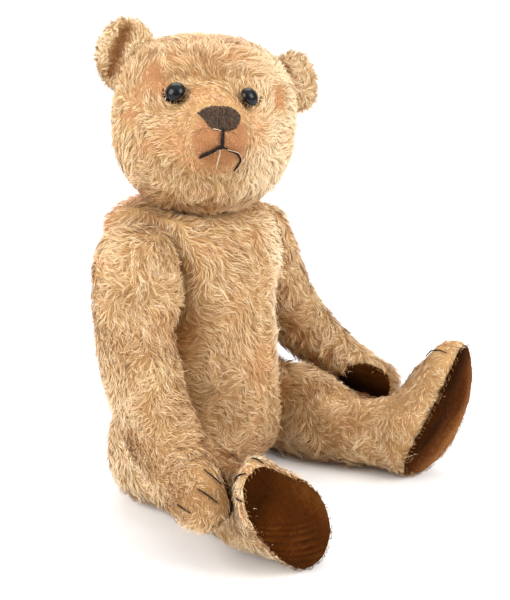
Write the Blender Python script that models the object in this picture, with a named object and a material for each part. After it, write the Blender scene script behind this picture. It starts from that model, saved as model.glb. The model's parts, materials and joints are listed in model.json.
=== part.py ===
"""An old jointed mohair teddy bear, seated. Metres, +Z up; it faces -Y and its left side is +X.

The origin is on the floor under the middle of the seat. Each skin is a thin sewn cover over firm
stuffing. Card discs on cotter pins carry the head, the arms and the legs.
"""

import math

import bmesh
import bpy
from mathutils import Euler, Matrix, Vector
from mathutils.bvhtree import BVHTree

# Cloth and clearances
CLOTH = 0.0020  # a mohair cover with its backing
PAD_CLOTH = 0.0014  # velvet of the paw and foot pads
GAP = 0.0004  # between neighbouring pieces
STUFFING_INSET = CLOTH + 0.0014

# Disc joints: what lies along each pin, counted from the plane between the two covers
JOINT_GAP = 0.0004  # from that plane to each cover
DISC_RADIUS = {"neck": 0.019, "shoulder": 0.0155, "hip": 0.018}
DISC_THICK = 0.0025
WASHER_RADIUS = 0.0055
WASHER_THICK = 0.0008
PIN_WIRE = 0.00075  # radius of the half wire that is folded into a cotter pin
PIN_LEGS = 0.00095  # from the pin's axis to the middle of each leg
PIN_HOLE = 0.0021
EYE_LOOP = 0.0022
CURL = 0.0024
DISC_START = JOINT_GAP + CLOTH + GAP
WASHER_START = DISC_START + DISC_THICK + GAP
PIN_END = WASHER_START + WASHER_THICK + GAP
RECESS_ROOM = 0.0005  # round the edge of a disc
RECESS_DEPTH = PIN_END + 0.0066
CUT_PAST = 0.0015  # how far a cutter runs past the faces that it opens
DISC_SIDES = 24
WASHER_SIDES = 14
HOLE_SIDES = 12

# Where the limbs and the head turn
SHOULDER = {1: Vector((0.052, 0.004, 0.183)), -1: Vector((-0.052, 0.003, 0.192))}
HIP = {1: Vector((0.052, 0.004, 0.045)), -1: Vector((-0.052, 0.004, 0.045))}
NECK = Vector((0.0, 0.003, 0.227))
FLAT_RADIUS = 0.035  # the covers are pulled flat this far round a joint
BODY_FLAT_RADIUS = 0.048
FLAT_FADE = 0.012

# Torso: height, half width, front and back of each level, with the hump behind the neck
TORSO_LEVELS = (
    (0.000, 0.030, 0.026, 0.030),
    (0.003, 0.041, 0.035, 0.040),
    (0.011, 0.051, 0.043, 0.048),
    (0.026, 0.057, 0.051, 0.054),
    (0.045, 0.060, 0.056, 0.057),
    (0.065, 0.062, 0.059, 0.058),
    (0.088, 0.063, 0.060, 0.058),
    (0.112, 0.063, 0.059, 0.059),
    (0.136, 0.062, 0.057, 0.061),
    (0.158, 0.060, 0.054, 0.063),
    (0.178, 0.057, 0.050, 0.065),
    (0.196, 0.054, 0.046, 0.066),
    (0.211, 0.049, 0.040, 0.063),
    (0.221, 0.041, 0.034, 0.054),
    (0.227, 0.033, 0.028, 0.036),
)
HUMP = (0.011, 0.221, 0.030)  # how far it rises behind the neck, at which level, and how far down it fades
HUMP_START = (0.010, 0.045)  # where it starts behind the neck and where it is full
HUMP_SIDES = (0.030, 0.048)  # how far out it is full and where it ends
TORSO_SIDES = 28
TORSO_POWER = 2.2
TORSO_BASE = 0.004  # below this the seat keeps its round edge
TORSO_SIDE = 0.02  # past this from the middle a point belongs to one side's joints

# Head, in its own axes: x to its left, y to its back, z up
HEAD_CENTRE = Vector((0.0, -0.004, 0.292))
HEAD_TURN = Euler((math.radians(-12), math.radians(5), math.radians(-46)), "XYZ")
HEAD_HALF = Vector((0.070, 0.062, 0.066))
HEAD_POWER = 2.5
HEAD_SIDES = 28
HEAD_LEVELS = 15
HEAD_TAPER = 0.05  # how much narrower the jaw is than the brow
HEAD_UNDERSIDE = 0.03  # the neck joint flattens what lies this far below the middle
MUZZLE_LENGTH = 0.038
MUZZLE_CENTRE_Z = -0.007
MUZZLE_WIDTH = 0.032
MUZZLE_HEIGHT = 0.029
MUZZLE_BLUNT = 1.35
EYE_PLACE = {1: (0.0215, 0.0182), -1: (-0.0285, 0.0178)}
EYE_RADIUS = 0.0072
EYE_DEPTH = 0.0058
EYE_SHANK = 0.0012
EYE_HOLE = 0.0016
EYE_BACK = 0.0016  # from the cover to the button's back
EYE_RIM = 0.0028  # and to its widest ring
EAR = {  # centre in the head's axes, half width, half height
    1: (Vector((0.065, 0.006, 0.034)), 0.021, 0.023),
    -1: (Vector((-0.0605, 0.006, 0.046)), 0.0225, 0.027),
}
EAR_THICK = 0.0052
EAR_CUP = 8.0
EAR_SWING = math.radians(18)
EAR_GAP = 0.0006  # between an ear's foot and the head
NOSE_X = 0.001
NOSE_HALF_WIDTH = 0.0134
NOSE_HALF_HEIGHT = 0.0084
NOSE_Z = 0.0025
NOSE_THICK = 0.0018
NOSE_TAPER = 0.16  # how much wider its top is than its middle
THREAD = 0.0009
CLAW_THREAD = 0.0007
STITCH_LIFT = 0.0009  # from a cover to a stitch that bridges its facets

# Arms: each station's middle with its half width across the arm and its half depth in the plane it
# swings in. The paw comes last.
ARM_SIDES = 18
WRIST_STATION = 9
PAW_STATION = 12
ARM = {
    -1: (
        (-0.0790, 0.003, 0.2240, 0.005, 0.007),
        (-0.0790, 0.003, 0.2205, 0.015, 0.019),
        (-0.0790, 0.003, 0.2110, 0.022, 0.026),
        (-0.0795, 0.002, 0.1920, 0.027, 0.030),
        (-0.0830, -0.001, 0.1710, 0.027, 0.031),
        (-0.0910, -0.008, 0.1490, 0.026, 0.030),
        (-0.0995, -0.020, 0.1290, 0.026, 0.030),
        (-0.1090, -0.037, 0.1070, 0.025, 0.029),
        (-0.1180, -0.059, 0.0850, 0.024, 0.027),
        (-0.1260, -0.081, 0.0700, 0.022, 0.025),
        (-0.1345, -0.099, 0.0612, 0.021, 0.023),
        (-0.1400, -0.114, 0.0552, 0.019, 0.019),
        (-0.1436, -0.124, 0.0515, 0.013, 0.013),
        (-0.1450, -0.128, 0.0500, 0.006, 0.006),
    ),
    1: (
        (0.0770, 0.005, 0.2110, 0.005, 0.006),
        (0.0770, 0.004, 0.2080, 0.013, 0.017),
        (0.0775, 0.003, 0.1995, 0.021, 0.026),
        (0.0785, 0.001, 0.1820, 0.026, 0.031),
        (0.0825, -0.002, 0.1620, 0.027, 0.032),
        (0.0910, -0.006, 0.1410, 0.026, 0.031),
        (0.1015, -0.013, 0.1210, 0.0245, 0.028),
        (0.1120, -0.024, 0.1010, 0.023, 0.025),
        (0.1225, -0.038, 0.0840, 0.0215, 0.0225),
        (0.1310, -0.053, 0.0710, 0.020, 0.020),
        (0.1390, -0.068, 0.0610, 0.018, 0.018),
        (0.1460, -0.084, 0.0530, 0.016, 0.016),
        (0.1500, -0.094, 0.0490, 0.012, 0.012),
        (0.1510, -0.098, 0.0475, 0.006, 0.006),
    ),
}

# Legs: how far each splays, and how its foot stands: the way from heel to toe and the way its sole
# faces. Both feet have rolled outwards.
LEG_SIDES = 20
LEG_SPLAY = {-1: math.radians(0), 1: math.radians(14)}
FOOT_UP = {-1: Vector((-0.67, 0.135, 0.73)), 1: Vector((0.49, -0.14, 0.86))}
FOOT_FACING = {-1: Vector((-0.10, -0.99, 0.10)), 1: Vector((-0.05, -0.99, -0.13))}
FOOT_NARROW = {-1: 0.12, 1: 0.26}  # how much slimmer the toe is than the heel
FOOT_WAIST = {-1: 0.17, 1: 0.0}  # how far the inner edge draws in towards the toe
SOLE_BOW = {-1: 0.001, 1: 0.0106}  # how far toe and heel curl back
SOLE_DOME = {-1: 0.0052, 1: 0.0068}
# Along the leg: distance in front of the hip, distance from the body's middle, height, half width,
# and the share of the foot's stance
LEG_STATIONS = {
    -1: (
        (-0.0250, 0.0715, 0.020, 0.006, 0.0),
        (-0.0220, 0.0720, 0.050, 0.014, 0.0),
        (-0.0113, 0.0725, 0.073, 0.0190, 0.0),
        (0.0067, 0.0730, 0.083, 0.0202, 0.0),
        (0.0250, 0.0730, 0.083, 0.0204, 0.0),
        (0.0483, 0.0735, 0.077, 0.0210, 0.0),
        (0.0716, 0.0745, 0.069, 0.0222, 0.0),
        (0.0916, 0.0770, 0.063, 0.0250, 0.05),
        (0.1082, 0.0815, 0.062, 0.0270, 0.18),
        (0.1249, 0.0880, 0.073, 0.0275, 0.42),
        (0.1399, 0.0950, 0.094, 0.0278, 0.70),
        (0.1532, 0.1010, 0.111, 0.0282, 0.90),
        (0.1640, 0.1055, 0.116, 0.0282, 1.0),
    ),
    1: (
        (-0.0262, 0.0715, 0.020, 0.006, 0.0),
        (-0.0232, 0.0720, 0.050, 0.014, 0.0),
        (-0.0122, 0.0725, 0.073, 0.0190, 0.0),
        (0.0064, 0.0730, 0.082, 0.0202, 0.0),
        (0.0243, 0.0740, 0.081, 0.0212, 0.0),
        (0.0470, 0.0770, 0.080, 0.0240, 0.0),
        (0.0697, 0.0820, 0.073, 0.0275, 0.0),
        (0.0892, 0.0880, 0.063, 0.0285, 0.05),
        (0.1054, 0.0935, 0.056, 0.0280, 0.18),
        (0.1216, 0.1000, 0.063, 0.0280, 0.42),
        (0.1362, 0.1065, 0.089, 0.0285, 0.70),
        (0.1492, 0.1120, 0.114, 0.0298, 0.90),
        (0.1597, 0.1159, 0.119, 0.0300, 1.0),
    ),
}
THIGH_TOP_Z = 0.083
FOOT_CLEAR = 0.0024  # the rounded rim and the pad reach this far past the foot's ellipse
THIGH_REACH = 0.080  # up to here the leg lies against the body
SOLE_FILL = 0.93  # size of the stuffing behind a sole, as a share of the rim
PAD_LIFT = 0.0009  # from a cover to the inside of a pad
PAW_PAD = (0.023, 0.0135)  # half length and half width
PAW_PAD_PLACE = 0.52  # from the wrist to the tip
TOE_PLACE = 0.72  # from the heel to the toe, where the claws start
# Claw stitches: where each lies round the toe or the paw, in degrees, how long it is, and on a paw
# how far from the tip it starts and how far it slants to each side
FOOT_CLAWS = {-1: ((-34, 0.012), (4, 0.018), (38, 0.010)), 1: ((-48, 0.017), (14, 0.014))}
PAW_CLAWS = {
    -1: ((6, 0.010, 0.006, 0.001), (66, 0.013, 0.001, 0.004), (96, 0.013, 0.013, 0.0045)),
    1: ((-26, 0.015, 0.001, 0.0), (8, 0.017, 0.001, 0.0), (44, 0.014, 0.001, 0.0)),
}

SIDE_NAME = {1: "left", -1: "right"}
UP = Vector((0.0, 0.0, 1.0))


# Materials
def make_material(name, colour, roughness, metallic=0.0):
    made = bpy.data.materials.new(name)
    made.use_nodes = True
    shader = made.node_tree.nodes["Principled BSDF"]
    shader.inputs["Base Color"].default_value = (*colour, 1.0)
    shader.inputs["Roughness"].default_value = roughness
    shader.inputs["Metallic"].default_value = metallic
    made.diffuse_color = (*colour, 1.0)
    return made


FINISHES = {
    "mohair": ((0.55, 0.37, 0.19), 0.95, 0.0),
    "stuffing": ((0.62, 0.48, 0.28), 0.95, 0.0),
    "velvet": ((0.12, 0.045, 0.012), 0.9, 0.0),
    "thread": ((0.02, 0.016, 0.015), 0.8, 0.0),
    "button": ((0.006, 0.006, 0.007), 0.15, 0.0),
    "card": ((0.34, 0.25, 0.15), 0.9, 0.0),
    "steel": ((0.35, 0.34, 0.33), 0.4, 0.9),
}


# Mesh helpers
def blend_step(value):
    """0 below 0, 1 above 1 and a smooth step between."""
    value = min(1.0, max(0.0, value))
    return value * value * (3.0 - 2.0 * value)


def ring(middle, across, up, half_width, half_height, sides, power=2.0, narrow=0.0):
    """Points round a rounded section. A narrow section is slimmer towards up."""
    points = []
    for k in range(sides):
        turn = 2.0 * math.pi * k / sides
        c, s = math.cos(turn), math.sin(turn)
        x = math.copysign(abs(c) ** (2.0 / power), c) * half_width * (1.0 - narrow * s)
        z = math.copysign(abs(s) ** (2.0 / power), s) * half_height
        points.append(middle + across * x + up * z)
    return points


def loft(rings, first_cap=True, last_cap=True):
    """A skin through rings of points, with flat caps where asked."""
    bm = bmesh.new()
    rows = [[bm.verts.new(point) for point in points] for points in rings]
    for row, following in zip(rows, rows[1:]):
        for k, corner in enumerate(row):
            bm.faces.new((row[k - 1], corner, following[k], following[k - 1]))
    if first_cap:
        bm.faces.new(rows[0])
    if last_cap:
        bm.faces.new(rows[-1])
    bmesh.ops.recalc_face_normals(bm, faces=bm.faces)
    return bm


def tube(path, radius, sides=6):
    """A closed round wire or thread along a path."""
    rings = []
    side = None
    for k, point in enumerate(path):
        along = (path[min(k + 1, len(path) - 1)] - path[max(k - 1, 0)]).normalized()
        if side is None:
            side = along.orthogonal().normalized()
        side = (side - along * side.dot(along)).normalized()
        rings.append(ring(point, side, along.cross(side), radius, radius, sides))
    return loft(rings)


def annulus(middle, axis, start, thick, radius, hole, sides):
    """A flat ring round an axis, as a disc or a washer."""
    across = axis.orthogonal().normalized()
    up = axis.cross(across)
    bm = bmesh.new()
    rows = []
    for distance, size in ((start, hole), (start, radius), (start + thick, radius), (start + thick, hole)):
        points = ring(middle + axis * distance, across, up, size, size, sides)
        rows.append([bm.verts.new(point) for point in points])
    for j, row in enumerate(rows):
        following = rows[(j + 1) % 4]
        for k, corner in enumerate(row):
            bm.faces.new((row[k - 1], corner, following[k], following[k - 1]))
    bmesh.ops.recalc_face_normals(bm, faces=bm.faces)
    return bm


def sheet(rings, outwards):
    """An open panel through rings that shrink to a middle point, facing outwards."""
    bm = bmesh.new()
    rows = [[bm.verts.new(point) for point in points] for points in rings[:-1]]
    middle = bm.verts.new(rings[-1])
    for row, following in zip(rows, rows[1:]):
        for k, corner in enumerate(row):
            bm.faces.new((row[k - 1], corner, following[k], following[k - 1]))
    for k, corner in enumerate(rows[-1]):
        bm.faces.new((rows[-1][k - 1], corner, middle))
    bm.normal_update()
    if sum(face.normal.dot(outwards) for face in bm.faces) < 0.0:
        bmesh.ops.reverse_faces(bm, faces=bm.faces)
    return bm


def add_object(name, bm, finish, parent=None):
    """Turns a mesh into an object of its own, on its joint's empty if it has one."""
    mesh = bpy.data.meshes.new(name)
    bm.to_mesh(mesh)
    bm.free()
    mesh.shade_smooth()
    mesh.set_sharp_from_angle(angle=math.radians(50))
    made = bpy.data.objects.new(name, mesh)
    bpy.context.scene.collection.objects.link(made)
    mesh.materials.append(make_material(name + "_finish", *FINISHES[finish]))
    if parent is not None:
        made.parent = parent
        made.matrix_parent_inverse = parent.matrix_basis.inverted()
    return made


def add_cutter(name, meshes):
    """Joins closed cutters into one hidden object."""
    joined = bmesh.new()
    for bm in meshes:
        part = bpy.data.meshes.new(name + "_part")
        bm.to_mesh(part)
        bm.free()
        joined.from_mesh(part)
        bpy.data.meshes.remove(part)
    mesh = bpy.data.meshes.new(name)
    joined.to_mesh(mesh)
    joined.free()
    made = bpy.data.objects.new(name, mesh)
    bpy.context.scene.collection.objects.link(made)
    made.hide_render = True
    made.display_type = "WIRE"
    return made


def cut(target, cutter):
    boolean = target.modifiers.new("cut", "BOOLEAN")
    boolean.operation = "DIFFERENCE"
    boolean.solver = "EXACT"
    boolean.object = cutter


def thicken(target, thickness, offset):
    solidify = target.modifiers.new("cloth", "SOLIDIFY")
    solidify.thickness = thickness
    solidify.offset = offset
    solidify.use_even_offset = True


def shrink(target, distance):
    displace = target.modifiers.new("inset", "DISPLACE")
    displace.mid_level = 0.0
    displace.strength = -distance


def add_empty(name, place):
    made = bpy.data.objects.new(name, None)
    made.location = place
    made.empty_display_size = 0.03
    bpy.context.scene.collection.objects.link(made)
    return made


def rod(middle, axis, start, end, radius, sides):
    """A closed cylinder from start to end along an axis, used as a cutter."""
    across = axis.orthogonal().normalized()
    up = axis.cross(across)
    ends = (middle + axis * start, middle + axis * end)
    return loft([ring(point, across, up, radius, radius, sides) for point in ends])


def pull_flat(point, joint, axis, plane, radius=FLAT_RADIUS, reach=None):
    """Moves a point onto the plane across a joint's axis, less and less past a radius.

    With a reach, from the plane to the middle of a limb, only the limb's inner side moves.
    """
    offset = point - joint
    along = offset.dot(axis)
    away = (offset - axis * along).length
    share = 1.0 - blend_step((away - radius) / FLAT_FADE)
    if reach is not None:
        share *= 1.0 - blend_step((along - 0.4 * reach) / (0.5 * reach))
        if along < plane:
            share = 1.0
    return point + axis * ((plane - along) * share)


# Skins, as rings of points
def raise_hump(point):
    """The hump between the shoulders, just behind the neck."""
    rise, level, fade = HUMP
    behind = blend_step((point.y - HUMP_START[0]) / (HUMP_START[1] - HUMP_START[0]))
    inside = 1.0 - blend_step((abs(point.x) - HUMP_SIDES[0]) / (HUMP_SIDES[1] - HUMP_SIDES[0]))
    near = 1.0 - blend_step((level - point.z) / fade) if point.z <= level else 0.0
    return point + UP * (rise * behind * inside * near)


def torso_rings():
    rings = []
    for height, half_width, front, back in TORSO_LEVELS:
        middle = Vector((0.0, 0.5 * (back - front), height))
        points = ring(middle, Vector((1, 0, 0)), Vector((0, 1, 0)), half_width, 0.5 * (front + back),
                      TORSO_SIDES, TORSO_POWER)
        points = [raise_hump(point) for point in points]
        for side in (1, -1):
            outwards = Vector((side, 0, 0))
            for joint in (SHOULDER[side], HIP[side]):
                points = [
                    pull_flat(point, joint, outwards, -JOINT_GAP, BODY_FLAT_RADIUS)
                    if point.x * side > TORSO_SIDE and height > TORSO_BASE else point
                    for point in points
                ]
        rings.append(points)
    return rings


def to_head(point):
    """From the head's own axes to the bear's."""
    return HEAD_CENTRE + HEAD_TURN.to_matrix() @ Vector(point)


def head_rings():
    rings = []
    for j in range(1, HEAD_LEVELS):
        drop = math.pi * j / HEAD_LEVELS
        c, s = math.cos(drop), math.sin(drop)
        height = HEAD_HALF.z * math.copysign(abs(c) ** (2.0 / HEAD_POWER), c)
        size = s ** (2.0 / HEAD_POWER)
        points = []
        for k in range(HEAD_SIDES):
            turn = 2.0 * math.pi * k / HEAD_SIDES
            x = HEAD_HALF.x * size * math.cos(turn) * (1.0 - HEAD_TAPER * blend_step(-c))
            y = HEAD_HALF.y * size * math.sin(turn)
            if y < 0.0:
                off = (x / MUZZLE_WIDTH) ** 2 + ((height - MUZZLE_CENTRE_Z) / MUZZLE_HEIGHT) ** 2
                y -= MUZZLE_LENGTH * math.exp(-off ** MUZZLE_BLUNT)
            point = to_head((x, y, height))
            if point.z < HEAD_CENTRE.z - HEAD_UNDERSIDE:
                point = pull_flat(point, NECK, UP, JOINT_GAP)
            points.append(point)
        rings.append(points)
    return rings


def arm_rings(side):
    """Rings across the arm. It's flat where it lies against the shoulder."""
    stations = ARM[side]
    middles = [Vector(station[:3]) for station in stations]
    outwards = Vector((side, 0, 0))
    rings = []
    for k, (_, _, _, half_width, half_depth) in enumerate(stations):
        along = (middles[min(k + 1, len(middles) - 1)] - middles[max(k - 1, 0)]).normalized()
        across = (outwards - along * outwards.dot(along)).normalized()
        points = ring(middles[k], across, along.cross(across), half_width, half_depth, ARM_SIDES, 2.1)
        reach = abs(middles[k].x - SHOULDER[side].x)
        rings.append([pull_flat(point, SHOULDER[side], outwards, JOINT_GAP, reach=reach) for point in points])
    return rings


def leg_direction(side):
    """From the hip to the foot, along the floor."""
    splay = LEG_SPLAY[side]
    return Vector((side * math.sin(splay), -math.cos(splay), 0.0))


def leg_rings(side):
    """Rings across the leg, with the upright foot last. It's flat where it lies on the hip."""
    along = leg_direction(side)
    rings = []
    for forward, from_middle, height, half_width, foot in LEG_STATIONS[side]:
        up = UP.lerp(FOOT_UP[side], foot).normalized()
        facing = along.lerp(FOOT_FACING[side], foot)
        across = up.cross(facing).normalized() * side
        half_height = 0.5 * height
        rise = math.hypot(half_height * up.z, half_width * across.z) + FOOT_CLEAR * foot
        if forward < 0.0:
            rise = 0.5 * THIGH_TOP_Z
        middle = Vector((side * from_middle, HIP[side].y - forward, rise))
        narrow = FOOT_NARROW[side] * foot
        points = ring(middle, across, up, half_width, half_height, LEG_SIDES, 2.1, narrow)
        facing = across.cross(up) * side
        for point in points:
            share = (point - middle).dot(up) / half_height
            point += facing * (SOLE_BOW[side] * foot * (1.0 - share * share))
            if (point - middle).dot(across) < 0.0:
                waist = math.exp(-((share - 0.42) / 0.30) ** 2)
                point += across * (FOOT_WAIST[side] * foot * waist * half_width)
        if forward < THIGH_REACH:
            reach = from_middle - abs(HIP[side].x)
            out = Vector((side, 0, 0))
            points = [pull_flat(point, HIP[side], out, JOINT_GAP, reach=reach) for point in points]
        for point in points:
            point.z = max(point.z, 0.0)
        rings.append(points)
    return rings


# Joints
def pin_path(middle, axis, across):
    """The folded wire of a cotter pin: an eye on the limb's side, two curled legs in the body."""
    flat = []
    bend = -PIN_END - PIN_WIRE
    for k in range(6):
        turn = math.pi * (1.0 - k / 5.0)
        flat.append((-PIN_LEGS - CURL + CURL * math.cos(turn), bend - CURL * math.sin(turn)))
    eye = PIN_END + PIN_WIRE + EYE_LOOP
    open_angle = math.asin(PIN_LEGS / EYE_LOOP)
    loop = []
    for k in range(11):
        turn = -0.5 * math.pi - open_angle - (2.0 * math.pi - 2.0 * open_angle) * k / 10.0
        loop.append((EYE_LOOP * math.cos(turn), eye + EYE_LOOP * math.sin(turn)))
    right = [(-x, s) for x, s in reversed(flat)]
    return [middle + across * x + axis * s for x, s in flat + loop + right]


def add_joint(name, middle, axis, disc_radius, limb):
    """Both card discs, both washers and the pin of a joint. The axis points into the limb."""
    for place, direction, parent in (("limb", axis, limb), ("body", -axis, None)):
        disc = annulus(middle, direction, DISC_START, DISC_THICK, disc_radius, PIN_HOLE, DISC_SIDES)
        add_object(name + "_" + place + "_disc", disc, "card", parent)
        washer = annulus(middle, direction, WASHER_START, WASHER_THICK, WASHER_RADIUS, PIN_HOLE, WASHER_SIDES)
        add_object(name + "_" + place + "_washer", washer, "steel", parent)
    across = axis.orthogonal().normalized()
    add_object(name + "_pin", tube(pin_path(middle, axis, across), PIN_WIRE), "steel")


def joint_recess(middle, axis, disc_radius):
    """The room that a disc, a washer and the pin's end take in the stuffing."""
    return rod(middle, axis, -CUT_PAST, RECESS_DEPTH, disc_radius + RECESS_ROOM, DISC_SIDES)


def pin_hole(middle, axis):
    return rod(middle, axis, -CUT_PAST, CLOTH + CUT_PAST, PIN_HOLE, HOLE_SIDES)


# Details that lie on a skin
def cast(tree, start, direction):
    """Where a ray meets a skin, with the skin's outward normal there."""
    place, normal, _, _ = tree.ray_cast(start, direction)
    if normal.dot(direction) > 0.0:
        normal = -normal
    return place, normal


def lay_stitch(tree, starts, direction, radius=THREAD):
    """A thread laid on a skin below the given starts."""
    path = []
    for start in starts:
        place, normal = cast(tree, start, direction)
        path.append(place + normal * (radius + STITCH_LIFT))
    return tube(path, radius)


def between(first, last, count):
    return [first.lerp(last, k / (count - 1)) for k in range(count)]


def face_point(x, z):
    """A point in front of the face, given in the head's axes."""
    return to_head((x, -0.15, z))


def add_eye(side, tree, parent):
    """A boot button: a black dome with a short shank that goes through the cover."""
    back = HEAD_TURN.to_matrix() @ Vector((0, 1, 0))
    place, normal = cast(tree, face_point(*EYE_PLACE[side]), back)
    profile = [(EYE_SHANK, -CLOTH - GAP), (EYE_SHANK, 0.75 * EYE_BACK), (0.72 * EYE_RADIUS, EYE_BACK)]
    for k in range(7):
        turn = math.radians(-8 + 94 * k / 6.0)
        profile.append((EYE_RADIUS * math.cos(turn), EYE_RIM + EYE_DEPTH * math.sin(turn)))
    across = normal.orthogonal().normalized()
    up = normal.cross(across)
    rings = [ring(place + normal * height, across, up, size, size, 20) for size, height in profile]
    add_object("eye_" + SIDE_NAME[side], loft(rings), "button", parent)
    return rod(place, -normal, -CUT_PAST, CLOTH + CUT_PAST, EYE_HOLE, HOLE_SIDES)


def add_nose(tree, parent):
    """A patch of satin stitch, wider at its top than at its foot."""
    back = HEAD_TURN.to_matrix() @ Vector((0, 1, 0))
    rings = []
    for size in (1.0, 0.72, 0.4):
        points = []
        for k in range(20):
            turn = 2.0 * math.pi * k / 20
            c, s = math.cos(turn), math.sin(turn)
            x = NOSE_X + math.copysign(abs(c) ** 0.75, c) * NOSE_HALF_WIDTH * size * (1.0 + NOSE_TAPER * s)
            z = NOSE_Z + math.copysign(abs(s) ** 0.85, s) * NOSE_HALF_HEIGHT * size
            place, normal = cast(tree, face_point(x, z), back)
            points.append(place + normal * STITCH_LIFT)
        rings.append(points)
    place, normal = cast(tree, face_point(NOSE_X, NOSE_Z), back)
    rings.append(place + normal * STITCH_LIFT)
    nose = add_object("nose_stitching", sheet(rings, -back), "thread", parent)
    thicken(nose, NOSE_THICK, 1.0)


def add_mouth(tree, parent):
    """The line below the nose and the two branches of the mouth. The left one sags, half torn out."""
    back = HEAD_TURN.to_matrix() @ Vector((0, 1, 0))
    lines = {
        "mouth_centre_stitch": ((0.0012, -0.0085), (0.0016, -0.0160)),
        "mouth_right_stitch": ((0.0000, -0.0182), (-0.0120, -0.0262)),
        "mouth_left_stitch": ((0.0042, -0.0178), (0.0150, -0.0212), (0.0190, -0.0265), (0.0160, -0.0350)),
    }
    for name, corners in lines.items():
        starts = []
        for first, last in zip(corners, corners[1:]):
            starts += between(face_point(*first), face_point(*last), 5)[0 if not starts else 1:]
        add_object(name, lay_stitch(tree, starts, back), "thread", parent)


def add_ear(side, cutter, parent):
    """A cupped ear of two layers of mohair, cut to fit the head."""
    middle, half_width, half_height = EAR[side]
    swing = Matrix.Rotation(side * EAR_SWING, 3, "Z")
    rings = []
    for j in range(1, 10):
        turn = math.pi * j / 10
        size, depth = math.sin(turn), EAR_THICK * math.cos(turn)
        points = []
        for point in ring(Vector(), Vector((1, 0, 0)), UP, half_width * size, half_height * size, 24):
            point.y = depth - EAR_CUP * (point.x ** 2 + point.z ** 2)
            points.append(to_head(middle + swing @ point))
        rings.append(points)
    ear = add_object("ear_" + SIDE_NAME[side], loft(rings), "mohair", parent)
    cut(ear, cutter)


def add_head(parent):
    """Cover, stuffing, ears, eyes, nose and mouth."""
    skin = loft(head_rings())
    tree = BVHTree.FromBMesh(skin)
    shape = add_cutter("head_shape", [skin.copy()])
    shrink(shape, -EAR_GAP)
    stuffing = add_object("head_stuffing", skin.copy(), "stuffing", parent)
    shrink(stuffing, STUFFING_INSET)
    cut(stuffing, add_cutter("head_recess", [joint_recess(NECK, UP, DISC_RADIUS["neck"])]))
    cover = add_object("head_cover", skin, "mohair", parent)
    thicken(cover, CLOTH, -1.0)
    holes = [pin_hole(NECK, UP)]
    for side in (1, -1):
        holes.append(add_eye(side, tree, parent))
        add_ear(side, shape, parent)
    cut(cover, add_cutter("head_holes", holes))
    add_nose(tree, parent)
    add_mouth(tree, parent)


def add_torso():
    """Cover and stuffing, with a hole and a recess at each of the five joints."""
    skin = loft(torso_rings())
    joints = [(NECK, -UP, DISC_RADIUS["neck"])]
    for side in (1, -1):
        inwards = Vector((-side, 0, 0))
        joints.append((SHOULDER[side], inwards, DISC_RADIUS["shoulder"]))
        joints.append((HIP[side], inwards, DISC_RADIUS["hip"]))
    stuffing = add_object("torso_stuffing", skin.copy(), "stuffing")
    shrink(stuffing, STUFFING_INSET)
    cut(stuffing, add_cutter("torso_recesses", [joint_recess(*joint) for joint in joints]))
    cover = add_object("torso_cover", skin, "mohair")
    thicken(cover, CLOTH, -1.0)
    cut(cover, add_cutter("torso_holes", [pin_hole(middle, axis) for middle, axis, _ in joints]))


def add_limb_fill(name, rings, joint, outwards, disc_radius, parent):
    """The stuffing of an arm or a leg, with room for the joint's disc."""
    stuffing = add_object(name + "_stuffing", loft(rings), "stuffing", parent)
    shrink(stuffing, STUFFING_INSET)
    cut(stuffing, add_cutter(name + "_recess", [joint_recess(joint, outwards, disc_radius)]))


def add_limb_cover(name, skin, joint, outwards, parent):
    cover = add_object(name + "_cover", skin, "mohair", parent)
    thicken(cover, CLOTH, -1.0)
    cut(cover, add_cutter(name + "_hole", [pin_hole(joint, outwards)]))


def add_arm(side, parent):
    """Cover, stuffing, velvet paw pad and claws."""
    name = "arm_" + SIDE_NAME[side]
    outwards = Vector((side, 0, 0))
    rings = arm_rings(side)
    skin = loft(rings)
    tree = BVHTree.FromBMesh(skin)
    add_limb_fill(name, rings, SHOULDER[side], outwards, DISC_RADIUS["shoulder"], parent)
    add_limb_cover(name, skin, SHOULDER[side], outwards, parent)
    wrist, tip = Vector(ARM[side][WRIST_STATION][:3]), Vector(ARM[side][PAW_STATION][:3])
    along = (tip - wrist).normalized()
    inwards = (-outwards + along * outwards.dot(along)).normalized()
    across = along.cross(inwards).normalized()
    middle = wrist.lerp(tip, PAW_PAD_PLACE)
    half_length, half_width = PAW_PAD
    pad = []
    for size in (1.0, 0.76, 0.5, 0.25, 0.0):
        points = []
        for spot in ring(Vector(), along, across, half_length * size, half_width * size, 20, 2.3):
            place, normal = cast(tree, middle + spot + inwards * 0.05, -inwards)
            points.append(place + normal * PAD_LIFT)
        pad.append(points if size else points[0])
    paw = add_object("paw_pad_" + SIDE_NAME[side], sheet(pad, inwards), "velvet", parent)
    thicken(paw, PAD_CLOTH, 1.0)
    for k, (degrees, length, setback, slant) in enumerate(PAW_CLAWS[side], 1):
        turn = math.radians(degrees)
        direction = -inwards * math.cos(turn) + across * math.sin(turn)
        aside = (inwards * math.sin(turn) + across * math.cos(turn)) * slant
        starts = between(tip - along * (setback + length) - aside, tip - along * setback + aside, 4)
        stitch = lay_stitch(tree, [start + direction * 0.05 for start in starts], -direction, CLAW_THREAD)
        add_object("paw_claw_{}_{}".format(SIDE_NAME[side], k), stitch, "thread", parent)


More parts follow.
